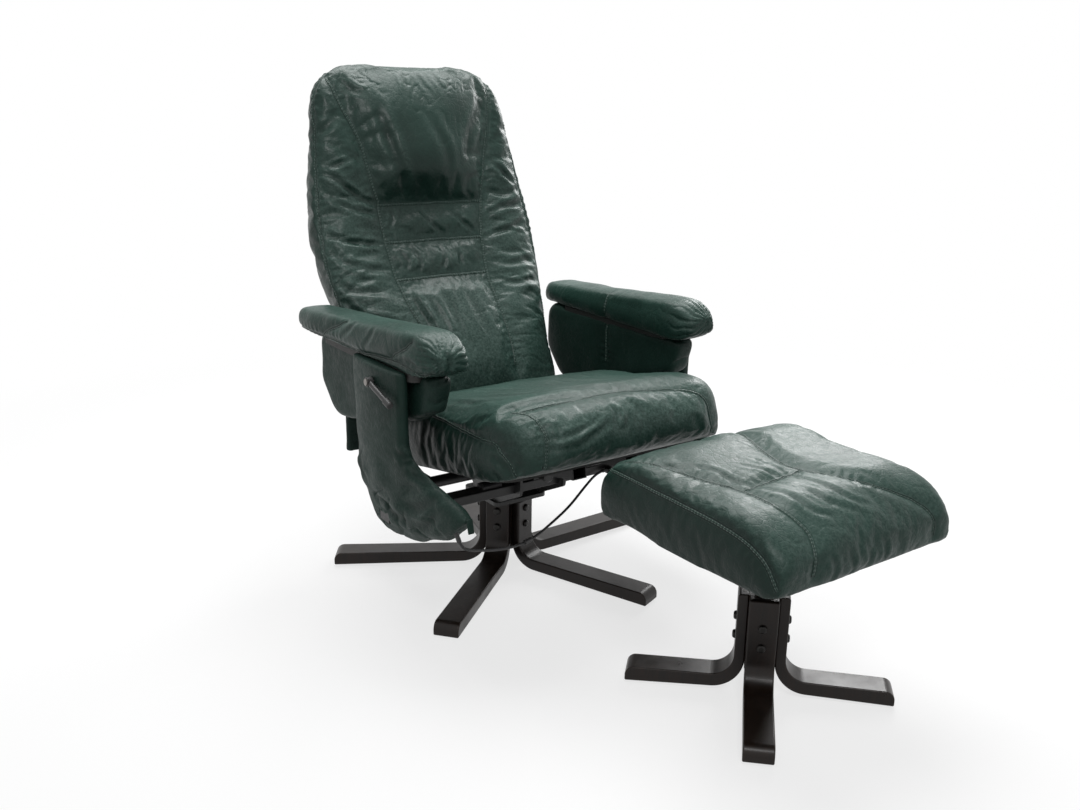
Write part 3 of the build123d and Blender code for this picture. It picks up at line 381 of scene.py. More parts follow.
def remesh(piece, voxel, smoothing_rounds):
    """Gives the piece an even mesh and smooths it."""
    with_modifier(piece, "REMESH", mode="VOXEL", voxel_size=voxel, adaptivity=0.0)
    with_modifier(piece, "SMOOTH", factor=0.6, iterations=smoothing_rounds)


def vertex_values(mesh, kind):
    out = np.empty(len(mesh.vertices) * 3)
    mesh.vertices.foreach_get(kind, out)
    return out.reshape(-1, 3)


def points_of(mesh):
    return vertex_values(mesh, "co")


def normals_of(mesh):
    return vertex_values(mesh, "normal")


def set_points(mesh, points):
    mesh.vertices.foreach_set("co", np.asarray(points, dtype=np.float64).reshape(-1))
    mesh.update()


def set_layer(mesh, name, values):
    layer = mesh.attributes.get(name) or mesh.attributes.new(name, "FLOAT", "POINT")
    layer.data.foreach_set("value", np.clip(values, 0, 1).astype(np.float32))


def shade_smooth(piece):
    piece.data.polygons.foreach_set("use_smooth", [True] * len(piece.data.polygons))


def finish_soft(piece, node, body):
    shade_smooth(piece)
    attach(piece, body)
    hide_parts(node)


def smooth_line(points, step):
    """Evenly spaced points on a smooth curve through points given in millimetres."""
    knots = [np.array(place(*p)) for p in points]
    knots = [2 * knots[0] - knots[1]] + knots + [2 * knots[-1] - knots[-2]]
    fine = []
    for a, b, c, d in zip(knots, knots[1:], knots[2:], knots[3:]):
        for t in np.linspace(0, 1, CURVE_PARTS, endpoint=False):
            fine.append(0.5 * (2 * b + (c - a) * t + (2 * a - 5 * b + 4 * c - d) * t ** 2
                               + (3 * b - a - 3 * c + d) * t ** 3))
    fine = np.array(fine + [knots[-2]])
    run = np.concatenate(([0], np.cumsum(np.linalg.norm(np.diff(fine, axis=0), axis=1))))
    even = np.linspace(0, run[-1], max(3, int(run[-1] / step) + 1))
    return np.stack([np.interp(even, run, fine[:, k]) for k in range(3)], axis=1)


def surface_of(piece):
    return BVHTree.FromObject(piece, bpy.context.evaluated_depsgraph_get())


def laid(line, surface):
    """The line's points moved to the nearest places on a surface, and the normals there."""
    hits = [surface.find_nearest(Vector(p)) for p in line]
    return np.array([h[0] for h in hits]), np.array([h[1] for h in hits])


def noise_at(points, size, seed):
    """Soft noise from about -1 to 1, whose bumps have the given size in metres."""
    return np.array([noise.noise(Vector(p)) for p in points / size + seed])


def step_up(value, start, end):
    """0 at the start and 1 at the end, which may be the smaller one, smoothly between them."""
    t = np.clip((value - start) / (end - start), 0, 1)
    return t * t * (3 - 2 * t)


def bell(distance, width):
    return np.exp(-(distance / width) ** 2)


def line_field(points, lines):
    """Each point's distance from the nearest line, its place along it and its nearest sample."""
    samples = np.concatenate(lines)
    tangents = np.concatenate([np.gradient(line, axis=0) for line in lines])
    tangents /= np.linalg.norm(tangents, axis=1)[:, None] + TINY
    tree = KDTree(len(samples))
    for index, sample in enumerate(samples):
        tree.insert(Vector(sample), index)
    tree.balance()
    nearest = np.array([tree.find(Vector(p))[1] for p in points])
    gap = points - samples[nearest]
    reach = 0.75 * LINE_STEP
    slide = np.clip((gap * tangents[nearest]).sum(1), -reach, reach)
    gap -= slide[:, None] * tangents[nearest]
    return np.linalg.norm(gap, axis=1), nearest * LINE_STEP + slide, nearest


# Creases, wrinkles and swollen leather
# A crease's reach and the place and width of its ridges are in widths of the crease
CREASE_STEP = 0.012
CREASE_REACH = 4
RIDGE_SHARE, RIDGE_PLACE, RIDGE_WIDTH = 0.60, 1.9, 0.9
CREASE_FADE = 0.7
WRINKLE_WIDTH = 0.22
BEND_SIZE, BEND_SHARE = 0.07, 0.55
GAP_SIZE, GAP_SEED, GAP_RANGE = 0.045, 3.7, (-0.15, 0.25)


def crease(points, height, line, width, depth):
    """A valley along a line with a low ridge on each side, fading towards its ends."""
    reach = CREASE_REACH * width
    inside = ((points > line.min(0) - reach) & (points < line.max(0) + reach)).all(1)
    chosen = np.where(inside)[0]
    if not len(chosen):
        return
    near = points[chosen]
    best = np.full(len(chosen), np.inf)
    along = np.zeros(len(chosen))
    for k in range(len(line) - 1):
        run = line[k + 1] - line[k]
        t = np.clip(((near - line[k]) @ run) / (run @ run), 0, 1)
        gap = np.linalg.norm(near - (line[k] + t[:, None] * run), axis=1)
        closer = gap < best
        best[closer] = gap[closer]
        along[closer] = (k + t[closer]) / (len(line) - 1)
    d = best / width
    shape = -bell(d, 1) + RIDGE_SHARE * bell(d - RIDGE_PLACE, RIDGE_WIDTH)
    height[chosen] += shape * depth * np.sin(np.pi * along) ** CREASE_FADE


def swells(points, size, height, seed):
    """Broad soft bumps."""
    return noise_at(points, size, seed) * height


def wrinkles(points, along, pitch, length, depth, seed):
    """Ridged noise drawn out along one direction, as deep as depth on the wrinkles."""
    along = np.array(Vector(along).normalized())
    run = points @ along
    rest = points - run[:, None] * along
    bend = noise_at(points, BEND_SIZE, seed)[:, None] * BEND_SHARE
    value = noise_at(rest / pitch + (run / length)[:, None] * along + bend, 1.0, seed)
    broken = step_up(noise_at(points, GAP_SIZE, seed + GAP_SEED), *GAP_RANGE)
    return np.clip(1 - np.abs(value) / WRINKLE_WIDTH, 0, 1) ** 2 * broken * depth


# The leather is first drawn in by the inset, and the cloth then swells it out again
INSET = 0.0035
CLOTH_FRAMES = 20
HOLD_STEP = 0.1
HELD_WIDTH = 0.007
CLOTH = {
    "quality": 4,
    "mass": 0.25,
    "tension_stiffness": 14,
    "compression_stiffness": 14,
    "shear_stiffness": 6,
    "bending_stiffness": 0.8,
    "air_damping": 2.5,
    "use_pressure": True,
}


def inflated(piece, held, pressure, cap, growth):
    """Cloth over the held seams: the leather swells between them and buckles a little."""
    start = points_of(piece.data) - normals_of(piece.data) * INSET
    set_points(piece.data, start)
    group = piece.vertex_groups.new(name="held")
    for low in np.arange(HOLD_STEP, 1.0, HOLD_STEP):
        high = low + HOLD_STEP
        last = high > 1 - HOLD_STEP / 2
        chosen = np.where((held >= low) & ((held < high) | last))[0]
        group.add([int(i) for i in chosen], float(high), "REPLACE")
    modifier = piece.modifiers.new("cloth", "CLOTH")
    settings = modifier.settings
    for key, value in CLOTH.items():
        setattr(settings, key, value)
    settings.uniform_pressure_force = pressure
    settings.shrink_min = -growth
    settings.vertex_group_mass = "held"
    settings.effector_weights.gravity = 0
    modifier.collision_settings.use_collision = False
    modifier.point_cache.frame_start = 1
    modifier.point_cache.frame_end = CLOTH_FRAMES
    for frame_number in range(1, CLOTH_FRAMES + 1):
        bpy.context.scene.frame_set(frame_number)
    mesh = evaluated(piece)
    moved = points_of(mesh) - start
    piece.modifiers.remove(modifier)
    bpy.data.meshes.remove(mesh)
    piece.vertex_groups.clear()
    bpy.context.scene.frame_set(1)
    size = np.linalg.norm(moved, axis=1)
    moved *= (np.minimum(size, cap) / np.maximum(size, TINY))[:, None]
    set_points(piece.data, start + moved)


# The middle of the back's centre panel: height and place from front to rear, in millimetres
PANEL_MIDDLE = ((305, 108), (346, 108), (375, 110), (407, 119), (457, 147), (514, 188), (575, 234),
                (611, 258), (648, 281), (686, 296), (725, 309), (742, 299), (762, 294), (800, 293),
                (847, 299), (904, 319), (947, 343), (979, 369), (1001, 391), (1015, 409))
PANEL_FOOT, PANEL_TOP, PANEL_ROWS = 0.305, 1.012, 90
PANEL_HALF, PANEL_NARROWING, PANEL_NARROWS = 0.155, 0.055, (0.94, 1.01)
# Vertices this near the front face are moved, and above the crown all of them
PANEL_SKIN, PANEL_CROWN = 0.005, 1.0


def panel_drawn(piece):
    """Lays the front of the back's centre panel on a smooth line between its wings."""
    surface = surface_of(piece)
    middle = smooth_line([(0, y, z) for z, y in PANEL_MIDDLE], LINE_STEP)
    points = points_of(piece.data)
    ahead = Vector((0, 1, 0))
    edges = []
    heights = np.linspace(PANEL_FOOT, PANEL_TOP, PANEL_ROWS)
    halves = PANEL_HALF - PANEL_NARROWING * step_up(heights, *PANEL_NARROWS)
    for half, z in zip(halves, heights):
        hits = [surface.ray_cast(Vector((side * half, -1, z)), ahead)[0] for side in (-1, 1)]
        edges.append(np.mean([hit.y for hit in hits]))
    for index, (x, y, z) in enumerate(points):
        half = np.interp(z, heights, halves)
        if abs(x) >= half or z < PANEL_FOOT:
            continue
        centre = np.interp(z, middle[:, 2], middle[:, 1])
        edge = np.interp(z, heights, edges)
        drawn = centre + (edge - centre) * (x / half) ** 2
        hit = surface.ray_cast(Vector((x, -1, z)), ahead)[0]
        in_front = hit is not None and abs(hit.y - y) < PANEL_SKIN
        if in_front or z > PANEL_CROWN:
            points[index, 1] = drawn if z < PANEL_CROWN else max(y, drawn)
    set_points(piece.data, points)
    remesh(piece, voxel=0.006, smoothing_rounds=6)


# Seams, in millimetres on the solids, with the number of stitch rows on each
def mirrored(points, middle=0.0):
    return [(2 * middle - x, y, z) for x, y, z in points]


STOOL_MIDDLE = 81.0
SEAT_BOXING = [(-226, -388, 345), (-241, -363, 385), (-248, -329, 401), (-244, -183, 396),
               (-245, -20, 397), (-245, 140, 396), (-238, 280, 392)]
BACK_BOXING = [(-180, 410, 992), (-226, 388, 942), (-235, 369, 894), (-247, 332, 787), (-254, 295, 671),
               (-259, 262, 595), (-253, 233, 537), (-251, 200, 480), (-246, 170, 430)]
STOOL_BOXING = [(-117, -869, 314), (-122, -846, 349), (-125, -805, 370), (-125, -729, 379),
                (-125, -609, 382), (-125, -510, 384), (-112, -470, 384)]
ROLL_SEAM = [(-340, 250, 500), (-340, 144, 503), (-338, 63, 506), (-333, -10, 503), (-332, -80, 507),
             (-330, -154, 514), (-329, -198, 513), (-325, -235, 506), (-316, -262, 503)]
ROLL_CROSS = [(-338, 120, 502), (-341, 108, 514), (-339, 88, 526), (-336, 64, 536), (-328, 40, 550)]
NOSE_CROSS = [(-330, -154, 514), (-332, -153, 523), (-330, -169, 533), (-329, -189, 543), (-318, -205, 556)]
SEAMS = {
    "seat_cushion": [
        (1, SEAT_BOXING), (1, mirrored(SEAT_BOXING)),
        (2, [(-207, -335, 455), (-189, -362, 456), (-184, -396, 438), (-183, -410, 416), (-189, -415, 362)]),
        (1, [(-195, -346, 457), (-95, -351, 463), (1, -351, 465), (69, -368, 461), (130, -379, 457)]),
        (2, [(120, -377, 458), (152, -388, 450), (179, -402, 430), (186, -411, 400), (187, -408, 355)]),
    ],
    "back_cushion": [
        (1, BACK_BOXING), (1, mirrored(BACK_BOXING)),
        (2, [(-194, 388, 986), (-186, 374, 965), (-168, 351, 912), (-144, 335, 849), (-127, 321, 764),
             (-118, 314, 725), (-117, 292, 659), (-115, 245, 581), (-106, 203, 522), (-88, 175, 465),
             (-84, 140, 420)]),
        (1, [(202, 388, 988), (194, 378, 968), (169, 338, 869), (147, 324, 779), (137, 317, 738)]),
        (2, [(137, 317, 738), (121, 291, 658), (107, 247, 582), (105, 220, 544), (111, 155, 453),
             (106, 120, 390)]),
        (2, [(-118, 314, 723), (7, 315, 723), (136, 312, 722)]),
        (2, [(-114, 286, 647), (0, 288, 647), (122, 286, 647)]),
        (2, [(-113, 241, 575), (-6, 244, 574), (105, 242, 576)]),
    ],
    "stool_cushion": [
        (2, STOOL_BOXING), (2, mirrored(STOOL_BOXING, STOOL_MIDDLE)),
        (1, [(-112, -470, 384), (0, -461, 384), (81, -461, 384), (160, -461, 384), (274, -470, 384)]),
        (1, [(-104, -495, 408), (-95, -540, 411), (-64, -634, 408), (-44, -696, 406), (-41, -780, 404)]),
        (2, [(-41, -780, 404), (-36, -818, 395), (-32, -845, 379), (-41, -870, 355), (-46, -876, 322)]),
        (1, [(158, -480, 406), (145, -520, 409), (108, -621, 413), (102, -702, 408), (145, -787, 405),
             (184, -826, 391), (219, -856, 370), (231, -876, 342), (232, -876, 318)]),
        (1, [(-40, -719, 406), (36, -714, 407), (102, -705, 408)]),
    ],
    "arm_roll_right": [(1, ROLL_SEAM), (1, ROLL_CROSS), (1, NOSE_CROSS)],
    "arm_roll_left": [(1, mirrored(ROLL_SEAM)), (1, mirrored(ROLL_CROSS)), (1, mirrored(NOSE_CROSS)),
                      (2, [(262, -2, 566), (250, -2, 540), (251, -3, 512)])],
    "arm_side_pad_left": [(2, [(252, -3, 492), (252, -3, 441), (252, -4, 405)])],
}

# Creases, as lines in millimetres with their width and depth
CREASES = {
    "back_cushion": [
        (5, 2.6, [(-240, 335, 808), (-220, 330, 803), (-194, 326, 809), (-160, 329, 822)]),
        (6, 3.6, [(-240, 330, 798), (-208, 322, 780), (-182, 316, 756), (-147, 314, 735), (-124, 315, 728)]),
        (6, 3.2, [(-225, 313, 742), (-194, 305, 722), (-158, 306, 710), (-122, 309, 706)]),
        (6, 3.6, [(-248, 295, 677), (-214, 285, 659), (-172, 280, 648), (-121, 286, 645)]),
        (7, 3.2, [(-248, 281, 646), (-222, 266, 617), (-181, 253, 603), (-122, 254, 595)]),
        (7, 3.6, [(-250, 252, 584), (-219, 235, 562), (-179, 226, 558), (-130, 233, 565)]),
        (7, 3.6, [(-246, 231, 550), (-223, 212, 523), (-190, 196, 507), (-140, 186, 498)]),
        (8, 2.6, [(-236, 355, 866), (-209, 347, 885), (-185, 349, 909)]),
        (6, 3.2, [(158, 327, 812), (187, 322, 793), (216, 320, 764), (240, 319, 741)]),
        (6, 3.4, [(150, 315, 748), (189, 309, 735), (227, 316, 742), (246, 316, 752)]),
        (6, 3.4, [(138, 302, 692), (185, 302, 708), (228, 305, 712), (250, 305, 722)]),
        (6, 2.8, [(130, 285, 648), (181, 284, 660), (226, 292, 671), (254, 303, 688)]),
        (7, 3.4, [(118, 254, 597), (164, 247, 588), (214, 252, 590), (252, 261, 596)]),
        (7, 3.6, [(112, 233, 568), (161, 222, 552), (210, 225, 550), (250, 235, 556)]),
        (9, 3.6, [(-68, 224, 562), (-61, 195, 531), (-48, 170, 495), (-37, 149, 450)]),
        (9, 3.4, [(-29, 212, 560), (-19, 185, 529), (-14, 160, 490), (-11, 140, 450)]),
        (9, 3.0, [(36, 219, 562), (38, 185, 529), (46, 160, 490), (59, 139, 448)]),
        (8, 2.6, [(-99, 216, 550), (-85, 200, 505), (-70, 184, 460)]),
        (10, 3.6, [(-101, 359, 935), (-89, 335, 871), (-70, 322, 804), (-60, 312, 745)]),
        (10, 2.8, [(10, 348, 900), (17, 335, 871), (34, 328, 830), (40, 320, 780)]),
        (12, 3.0, [(171, 365, 948), (142, 349, 906), (100, 330, 854), (90, 322, 800)]),
        (6, 2.6, [(-32, 384, 990), (-28, 364, 961), (-36, 356, 930)]),
        (6, 2.6, [(3, 384, 990), (14, 364, 961), (30, 356, 930)]),
        (6, 2.4, [(42, 384, 990), (56, 363, 957), (62, 356, 928)]),
        (7, 2.4, [(-170, 384, 980), (-143, 365, 954), (-110, 358, 940)]),
        (5, 2.6, [(-92, 311, 716), (-90, 304, 692), (-108, 297, 668)]),
        (5, 2.8, [(-25, 310, 716), (-2, 301, 682), (24, 293, 658)]),
        (5, 2.6, [(48, 307, 708), (78, 299, 678), (105, 291, 655)]),
        (5, 3.0, [(-62, 273, 638), (-51, 257, 610), (-60, 249, 584)]),
        (5, 3.0, [(5, 274, 638), (9, 256, 612), (-4, 249, 584)]),
        (5, 2.6, [(38, 274, 636), (48, 256, 610), (44, 249, 586)]),
        (5, 2.8, [(-96, 277, 638), (-80, 259, 607), (-92, 253, 588)]),
    ],
    "seat_cushion": [
        (5, 2.2, [(-178, -412, 416), (-138, -419, 424), (-100, -415, 431), (-66, -408, 440)]),
        (6, 2.6, [(-170, -422, 393), (-129, -424, 401), (-85, -421, 420), (-40, -410, 438)]),
        (5, 2.0, [(-183, -413, 405), (-157, -422, 403), (-130, -423, 407)]),
        (6, 2.2, [(-39, -396, 452), (-36, -411, 437), (-53, -421, 418)]),
        (6, 2.0, [(-12, -406, 443), (-17, -420, 426), (-34, -422, 411)]),
        (9, 2.4, [(-230, -325, 446), (-172, -325, 457), (-118, -330, 461), (-60, -344, 463)]),
        (10, 2.4, [(-170, -130, 424), (-130, -230, 444), (-60, -300, 458), (10, -330, 464)]),
        (8, 2.2, [(-120, -60, 416), (-90, -160, 432), (-40, -240, 448)]),
        (7, 1.8, [(-200, -110, 420), (-190, -200, 436), (-160, -270, 448)]),
        (9, 2.0, [(40, -110, 424), (30, -200, 440), (60, -280, 452)]),
        (9, 2.0, [(120, -90, 420), (110, -190, 438), (140, -270, 448)]),
        (5, 2.8, [(-250, -322, 398), (-243, -352, 398), (-228, -374, 408)]),
        (5, 2.6, [(-231, -382, 345), (-228, -385, 368), (-220, -395, 382)]),
        (6, 2.4, [(-249, -338, 386), (-239, -368, 366), (-230, -382, 342)]),
    ],
    "stool_cushion": [
        (5, 2.2, [(16, -648, 410), (36, -683, 409), (55, -720, 407), (90, -721, 407)]),
        (5, 2.2, [(-51, -606, 410), (-28, -644, 409), (-28, -693, 407), (-12, -722, 406)]),
        (5, 1.8, [(58, -640, 411), (63, -681, 409), (70, -712, 408)]),
        (6, 2.4, [(-23, -735, 405), (-4, -777, 405), (4, -820, 395), (36, -840, 382)]),
        (6, 2.2, [(59, -728, 407), (70, -773, 406), (83, -821, 395), (116, -840, 382)]),
        (6, 2.0, [(32, -770, 406), (46, -818, 396), (76, -841, 382)]),
        (7, 1.8, [(-95, -540, 411), (-81, -584, 411), (-48, -614, 410)]),
        (5, 2.4, [(-15, -872, 352), (-2, -876, 325), (-8, -876, 303)]),
        (5, 2.4, [(25, -872, 350), (38, -876, 320), (32, -876, 303)]),
        (5, 2.0, [(64, -872, 352), (77, -876, 325), (72, -876, 305)]),
        (5, 1.8, [(104, -872, 352), (112, -876, 325), (108, -876, 305)]),
    ],
    "arm_roll_right": [
        (5, 2.6, [(-322, -250, 542), (-309, -273, 532), (-303, -271, 512)]),
        (5, 2.6, [(-296, -268, 554), (-286, -277, 536), (-290, -274, 512)]),
        (5, 2.2, [(-331, -176, 523), (-329, -220, 524), (-324, -244, 508)]),
        (6, 1.6, [(-341, 40, 520), (-336, 10, 540), (-318, -8, 560)]),
        (6, 1.4, [(-338, -50, 518), (-332, -70, 540), (-316, -80, 558)]),
    ],
    "arm_sleeve_right": [
        (7, 3.2, [(-337, -168, 356), (-328, -189, 349), (-334, -187, 333)]),
        (8, 3.6, [(-338, -35, 303), (-334, -27, 278), (-339, -62, 270)]),
        (8, 3.2, [(-333, -200, 334), (-321, -223, 328), (-315, -252, 316)]),
        (9, 4.0, [(-334, -185, 258), (-326, -230, 270), (-316, -268, 292), (-309, -280, 312)]),
        (9, 3.6, [(-324, -215, 228), (-319, -255, 246), (-315, -285, 285)]),
        (10, 3.4, [(-336, -70, 248), (-334, -145, 233), (-325, -215, 234)]),
    ],
}


# Each piece's own form: its height over the plain leather, in metres, and its wear layer, which lightens it
# for real wear and also as painted sheen
FACING = (0.2, 0.7)
ROLL_X, ROLL_Z = 0.297, 0.538
ROLL_PUCKERS, PAD_PUCKERS = 9.5, 19
PUCKER_DEPTH = 0.0034


def loose_seat(points, normals):
    top = step_up(normals[:, 2], *FACING)
    front = step_up(-normals[:, 1], *FACING)
    rear = step_up(points[:, 1] - AXIS_Y, -0.16, -0.02)
    nose = step_up(points[:, 2], 0.37, 0.42)
    height = swells(points, 0.085, height=0.0026, seed=3.1) * (top + front)
    height -= wrinkles(points, (0.35, -1, 0), pitch=0.030, length=0.16, depth=0.0007, seed=5.2) * top
    height -= wrinkles(points, (1, 0, 0.45), pitch=0.020, length=0.09, depth=0.0010, seed=9.4) * front
    height -= wrinkles(points, (0.2, -1, 0), pitch=0.022, length=0.10, depth=0.0013, seed=1.7) * top * rear
    return height, 0.95 * front * nose + 0.25 * top


def loose_back(points, normals):
    front = step_up(-normals[:, 1], 0.15, 0.6)
    x, z = points[:, 0], points[:, 2]
    wing = step_up(np.abs(x), 0.115, 0.15) * step_up(z, 0.92, 0.80)
    head = step_up(z, 0.73, 0.80) * (1 - step_up(np.abs(x), 0.12, 0.17)) * front
    crown = step_up(z, 0.92, 0.97)
    lower = step_up(z, 0.57, 0.55) * (1 - wing) * front
    below_head = step_up(z, 0.74, 0.70)
    height = swells(points, 0.075, height=0.0034, seed=2.3) * front
    height -= wrinkles(points, (1, 0, -0.35), pitch=0.026, length=0.11, depth=0.0016, seed=4.4) * front * wing
    height -= wrinkles(points, (0.1, 0, 1), pitch=0.024, length=0.12, depth=0.0010, seed=7.9) * head
    height -= wrinkles(points, (0.25, 0, 1), pitch=0.015, length=0.05, depth=0.0016, seed=3.3) * crown
    height -= wrinkles(points, (-0.25, 0.3, 1), pitch=0.024, length=0.12, depth=0.0013, seed=6.1) * lower
    return height, 0.45 * front * (wing + crown) + 0.8 * lower + 0.35 * front * below_head


def loose_stool(points, normals):
    top = step_up(normals[:, 2], *FACING)
    front = step_up(-normals[:, 1], *FACING)
    middle = bell(points[:, 0] - 0.03, 0.09) * bell(points[:, 1] - AXIS_Y + 0.72, 0.10)
    height = swells(points, 0.09, height=0.0020, seed=8.3) * (top + front)
    height -= wrinkles(points, (0.5, -1, 0), pitch=0.016, length=0.07, depth=0.0012, seed=2.2) * top * middle
    height -= wrinkles(points, (0.1, 0.3, 1), pitch=0.020, length=0.08, depth=0.0011, seed=4.7) * front
    return height, 0.35 * top + 0.25 * front


def loose_roll(points, normals):
    side = -1.0 if points[:, 0].mean() < 0 else 1.0
    around = np.arctan2(points[:, 2] - ROLL_Z, points[:, 0] - side * ROLL_X)
    nose = step_up(AXIS_Y - points[:, 1], 0.205, 0.262)
    folds = 1 - np.abs(np.sin(ROLL_PUCKERS * around + swells(points, 0.03, height=1.4, seed=2.7)))
    height = -PUCKER_DEPTH * nose * folds ** 2.2
    height += swells(points, 0.05, height=0.0016, seed=6.6)
    height -= wrinkles(points, (0.6, 0.5, 1), pitch=0.022, length=0.07, depth=0.0006, seed=5.5)
    return height, 0.3 * step_up(normals[:, 2], 0.3, 0.9) + 0.2 * nose


def loose_pad(points, normals):
    middle = (points.max(0) + points.min(0)) / 2
    y, z = points[:, 1] - middle[1], points[:, 2] - middle[2]
    rim = 1 - step_up(np.abs(normals[:, 0]), 0.35, 0.93)
    front = step_up(-y, 0.02, 0.11)
    bend = swells(points, 0.03, height=1.6, seed=1.1)
    folds = 1 - np.abs(np.sin(PAD_PUCKERS * np.arctan2(z, y) + bend))
    height = -PUCKER_DEPTH * rim * front * folds ** 1.3
    height += swells(points, 0.055, height=0.0022, seed=9.9)
    return height, 0.15 * rim


def loose_sleeve(points, normals):
    low = step_up(points[:, 2], 0.37, 0.28)
    height = swells(points, 0.055, height=0.0012 + 0.0050 * low, seed=4.1)
    height -= wrinkles(points, (0, -0.8, 0.6), pitch=0.030, length=0.10, depth=0.0030, seed=3.6) * low
    return height, 0.35 * low


def loose_skirt(points, normals):
    return swells(points, 0.03, height=0.002, seed=4.9), 0.1 * np.ones(len(points))


# Soft pieces: CAD node, name, body, material, mesh step, fill and own form
SOFT = (
    ("seat_cushion", "seat_leather", "carrier", leather, 0.006, 0.7, loose_seat),
    ("back_cushion", "back_leather", "back", leather_back_shaded, 0.006, 0.6, loose_back),
    ("stool_cushion", "stool_leather", "stool", leather, 0.006, 0.8, loose_stool),
    ("arm_roll_right", "arm_roll_leather_right", "carrier", leather, 0.005, 0.7, loose_roll),
    ("arm_roll_left", "arm_roll_leather_left", "carrier", leather, 0.005, 0.7, loose_roll),
    ("arm_side_pad_right", "side_pad_leather_right", "carrier", leather_matt_shaded, 0.005, 0.6, loose_pad),
    ("arm_side_pad_left", "side_pad_leather_left", "carrier", leather_matt_shaded, 0.005, 0.6, loose_pad),
    ("arm_sleeve_right", "sleeve_leather_right", "carrier", leather_matt_shaded, 0.004, 0.2, loose_sleeve),
    ("arm_sleeve_left", "sleeve_leather_left", "carrier", leather_matt_shaded, 0.004, 0.2, loose_sleeve),
    ("rear_skirt", "rear_skirt_leather", "back", leather_matt_shaded, 0.003, 0.1, loose_skirt),
    ("sleeve_strap", "sleeve_strap_leather", "carrier", leather_matt_shaded, 0.0012, 0.1, None),
)
# Swollen pieces: pressure, the most that the leather may move in metres, and its growth
SWOLLEN = {
    "seat_cushion": (3.0, 0.008, 0.018),
    "back_cushion": (3.0, 0.009, 0.024),
    "stool_cushion": (2.6, 0.006, 0.010),
}
UNDERSIDE = (0.5, 0.85)
# Along a seam with one row of stitches or two: its groove, its hollow and the ripples beside it
GROOVE_SINGLE, GROOVE_DOUBLE, GROOVE_WIDTH = 0.0030, 0.0012, 0.006
HOLLOW_DEPTH, HOLLOW_WIDTH = 0.0024, 0.018
FLAT_SHARE, FLAT_WIDTH = 0.75, 0.010
# Painted shade in a seam's groove, for one row of stitches and for two, and its width
SEAM_SHADE_SINGLE, SEAM_SHADE_DOUBLE, SEAM_SHADE_WIDTH = 0.45, 0.10, 0.0035
RIPPLE_LENGTH, RIPPLE_HEIGHT, RIPPLE_PLACE, RIPPLE_WIDTH = 0.017, 0.0007, 0.010, 0.008
# A ridge this high is worn by its share, and a valley this deep gets its own share of painted shade
RIDGE_HEIGHT, RIDGE_WEAR = 0.0022, 0.6
VALLEY_DEPTH, VALLEY_SHADE = 0.004, 0.30
# Painted shade on the sideways faces of these pieces: its share, and how far sideways the faces turn
SIDE_SHADED_PIECES = ("seat_cushion", "stool_cushion")
SIDE_SHADE, SIDE_FACING = 0.45, (0.55, 0.90)


def sewn(points, height, seams):
    """Presses the leather down along its seams, ripples it beside them and returns the painted shade for
    their grooves.
    """
    distance, along, nearest = line_field(points, [line for rows, line in seams])
    doubled = np.concatenate([np.full(len(line), rows == 2) for rows, line in seams])[nearest]
    bend = swells(points, 0.035, height=3.2, seed=0.4)
    ripple = np.sin(along * (2 * math.pi / RIPPLE_LENGTH) + bend)
    ripple *= step_up(noise_at(points, size=0.05, seed=5.0), -0.35, 0.35)
    height *= 1 - FLAT_SHARE * bell(distance, FLAT_WIDTH)
    height -= np.where(doubled, GROOVE_DOUBLE, GROOVE_SINGLE) * bell(distance, GROOVE_WIDTH)
    height -= HOLLOW_DEPTH * bell(distance, HOLLOW_WIDTH)
    height += RIPPLE_HEIGHT * ripple * bell(distance - RIPPLE_PLACE, RIPPLE_WIDTH)
    return np.where(doubled, SEAM_SHADE_DOUBLE, SEAM_SHADE_SINGLE) * bell(distance, SEAM_SHADE_WIDTH)


def formed(piece, node, seams, surface, loose):
    """Gives the leather its own form, creases and seams, and the layers that shade them."""
    with_modifier(piece, "SUBSURF", levels=1, render_levels=1)
    points, normals = points_of(piece.data), normals_of(piece.data)
    height, wear_and_sheen = loose(points, normals)
    painted_shade = np.zeros(len(points))
    sunk = np.zeros(len(points))
    for width, depth, crease_points in CREASES.get(node, ()):
        line = laid(smooth_line(crease_points, CREASE_STEP), surface)[0]
        crease(points, sunk, line, width * MM, depth * MM)
    height += sunk
    if seams:
        painted_shade = sewn(points, height, seams)
    # Painted shade on faces turned sideways
    if node in SIDE_SHADED_PIECES:
        painted_shade = np.maximum(painted_shade, SIDE_SHADE * step_up(np.abs(normals[:, 0]), *SIDE_FACING))
    wear_and_sheen = wear_and_sheen + np.clip(sunk / RIDGE_HEIGHT, 0, 1) * RIDGE_WEAR
    # Painted shade in crease valleys
    painted_shade = np.maximum(painted_shade, np.clip(-sunk / VALLEY_DEPTH, 0, 1) * VALLEY_SHADE)
    set_points(piece.data, points + normals * height[:, None])
    set_layer(piece.data, "wear_and_sheen", wear_and_sheen)
    set_layer(piece.data, "painted_shade", painted_shade)


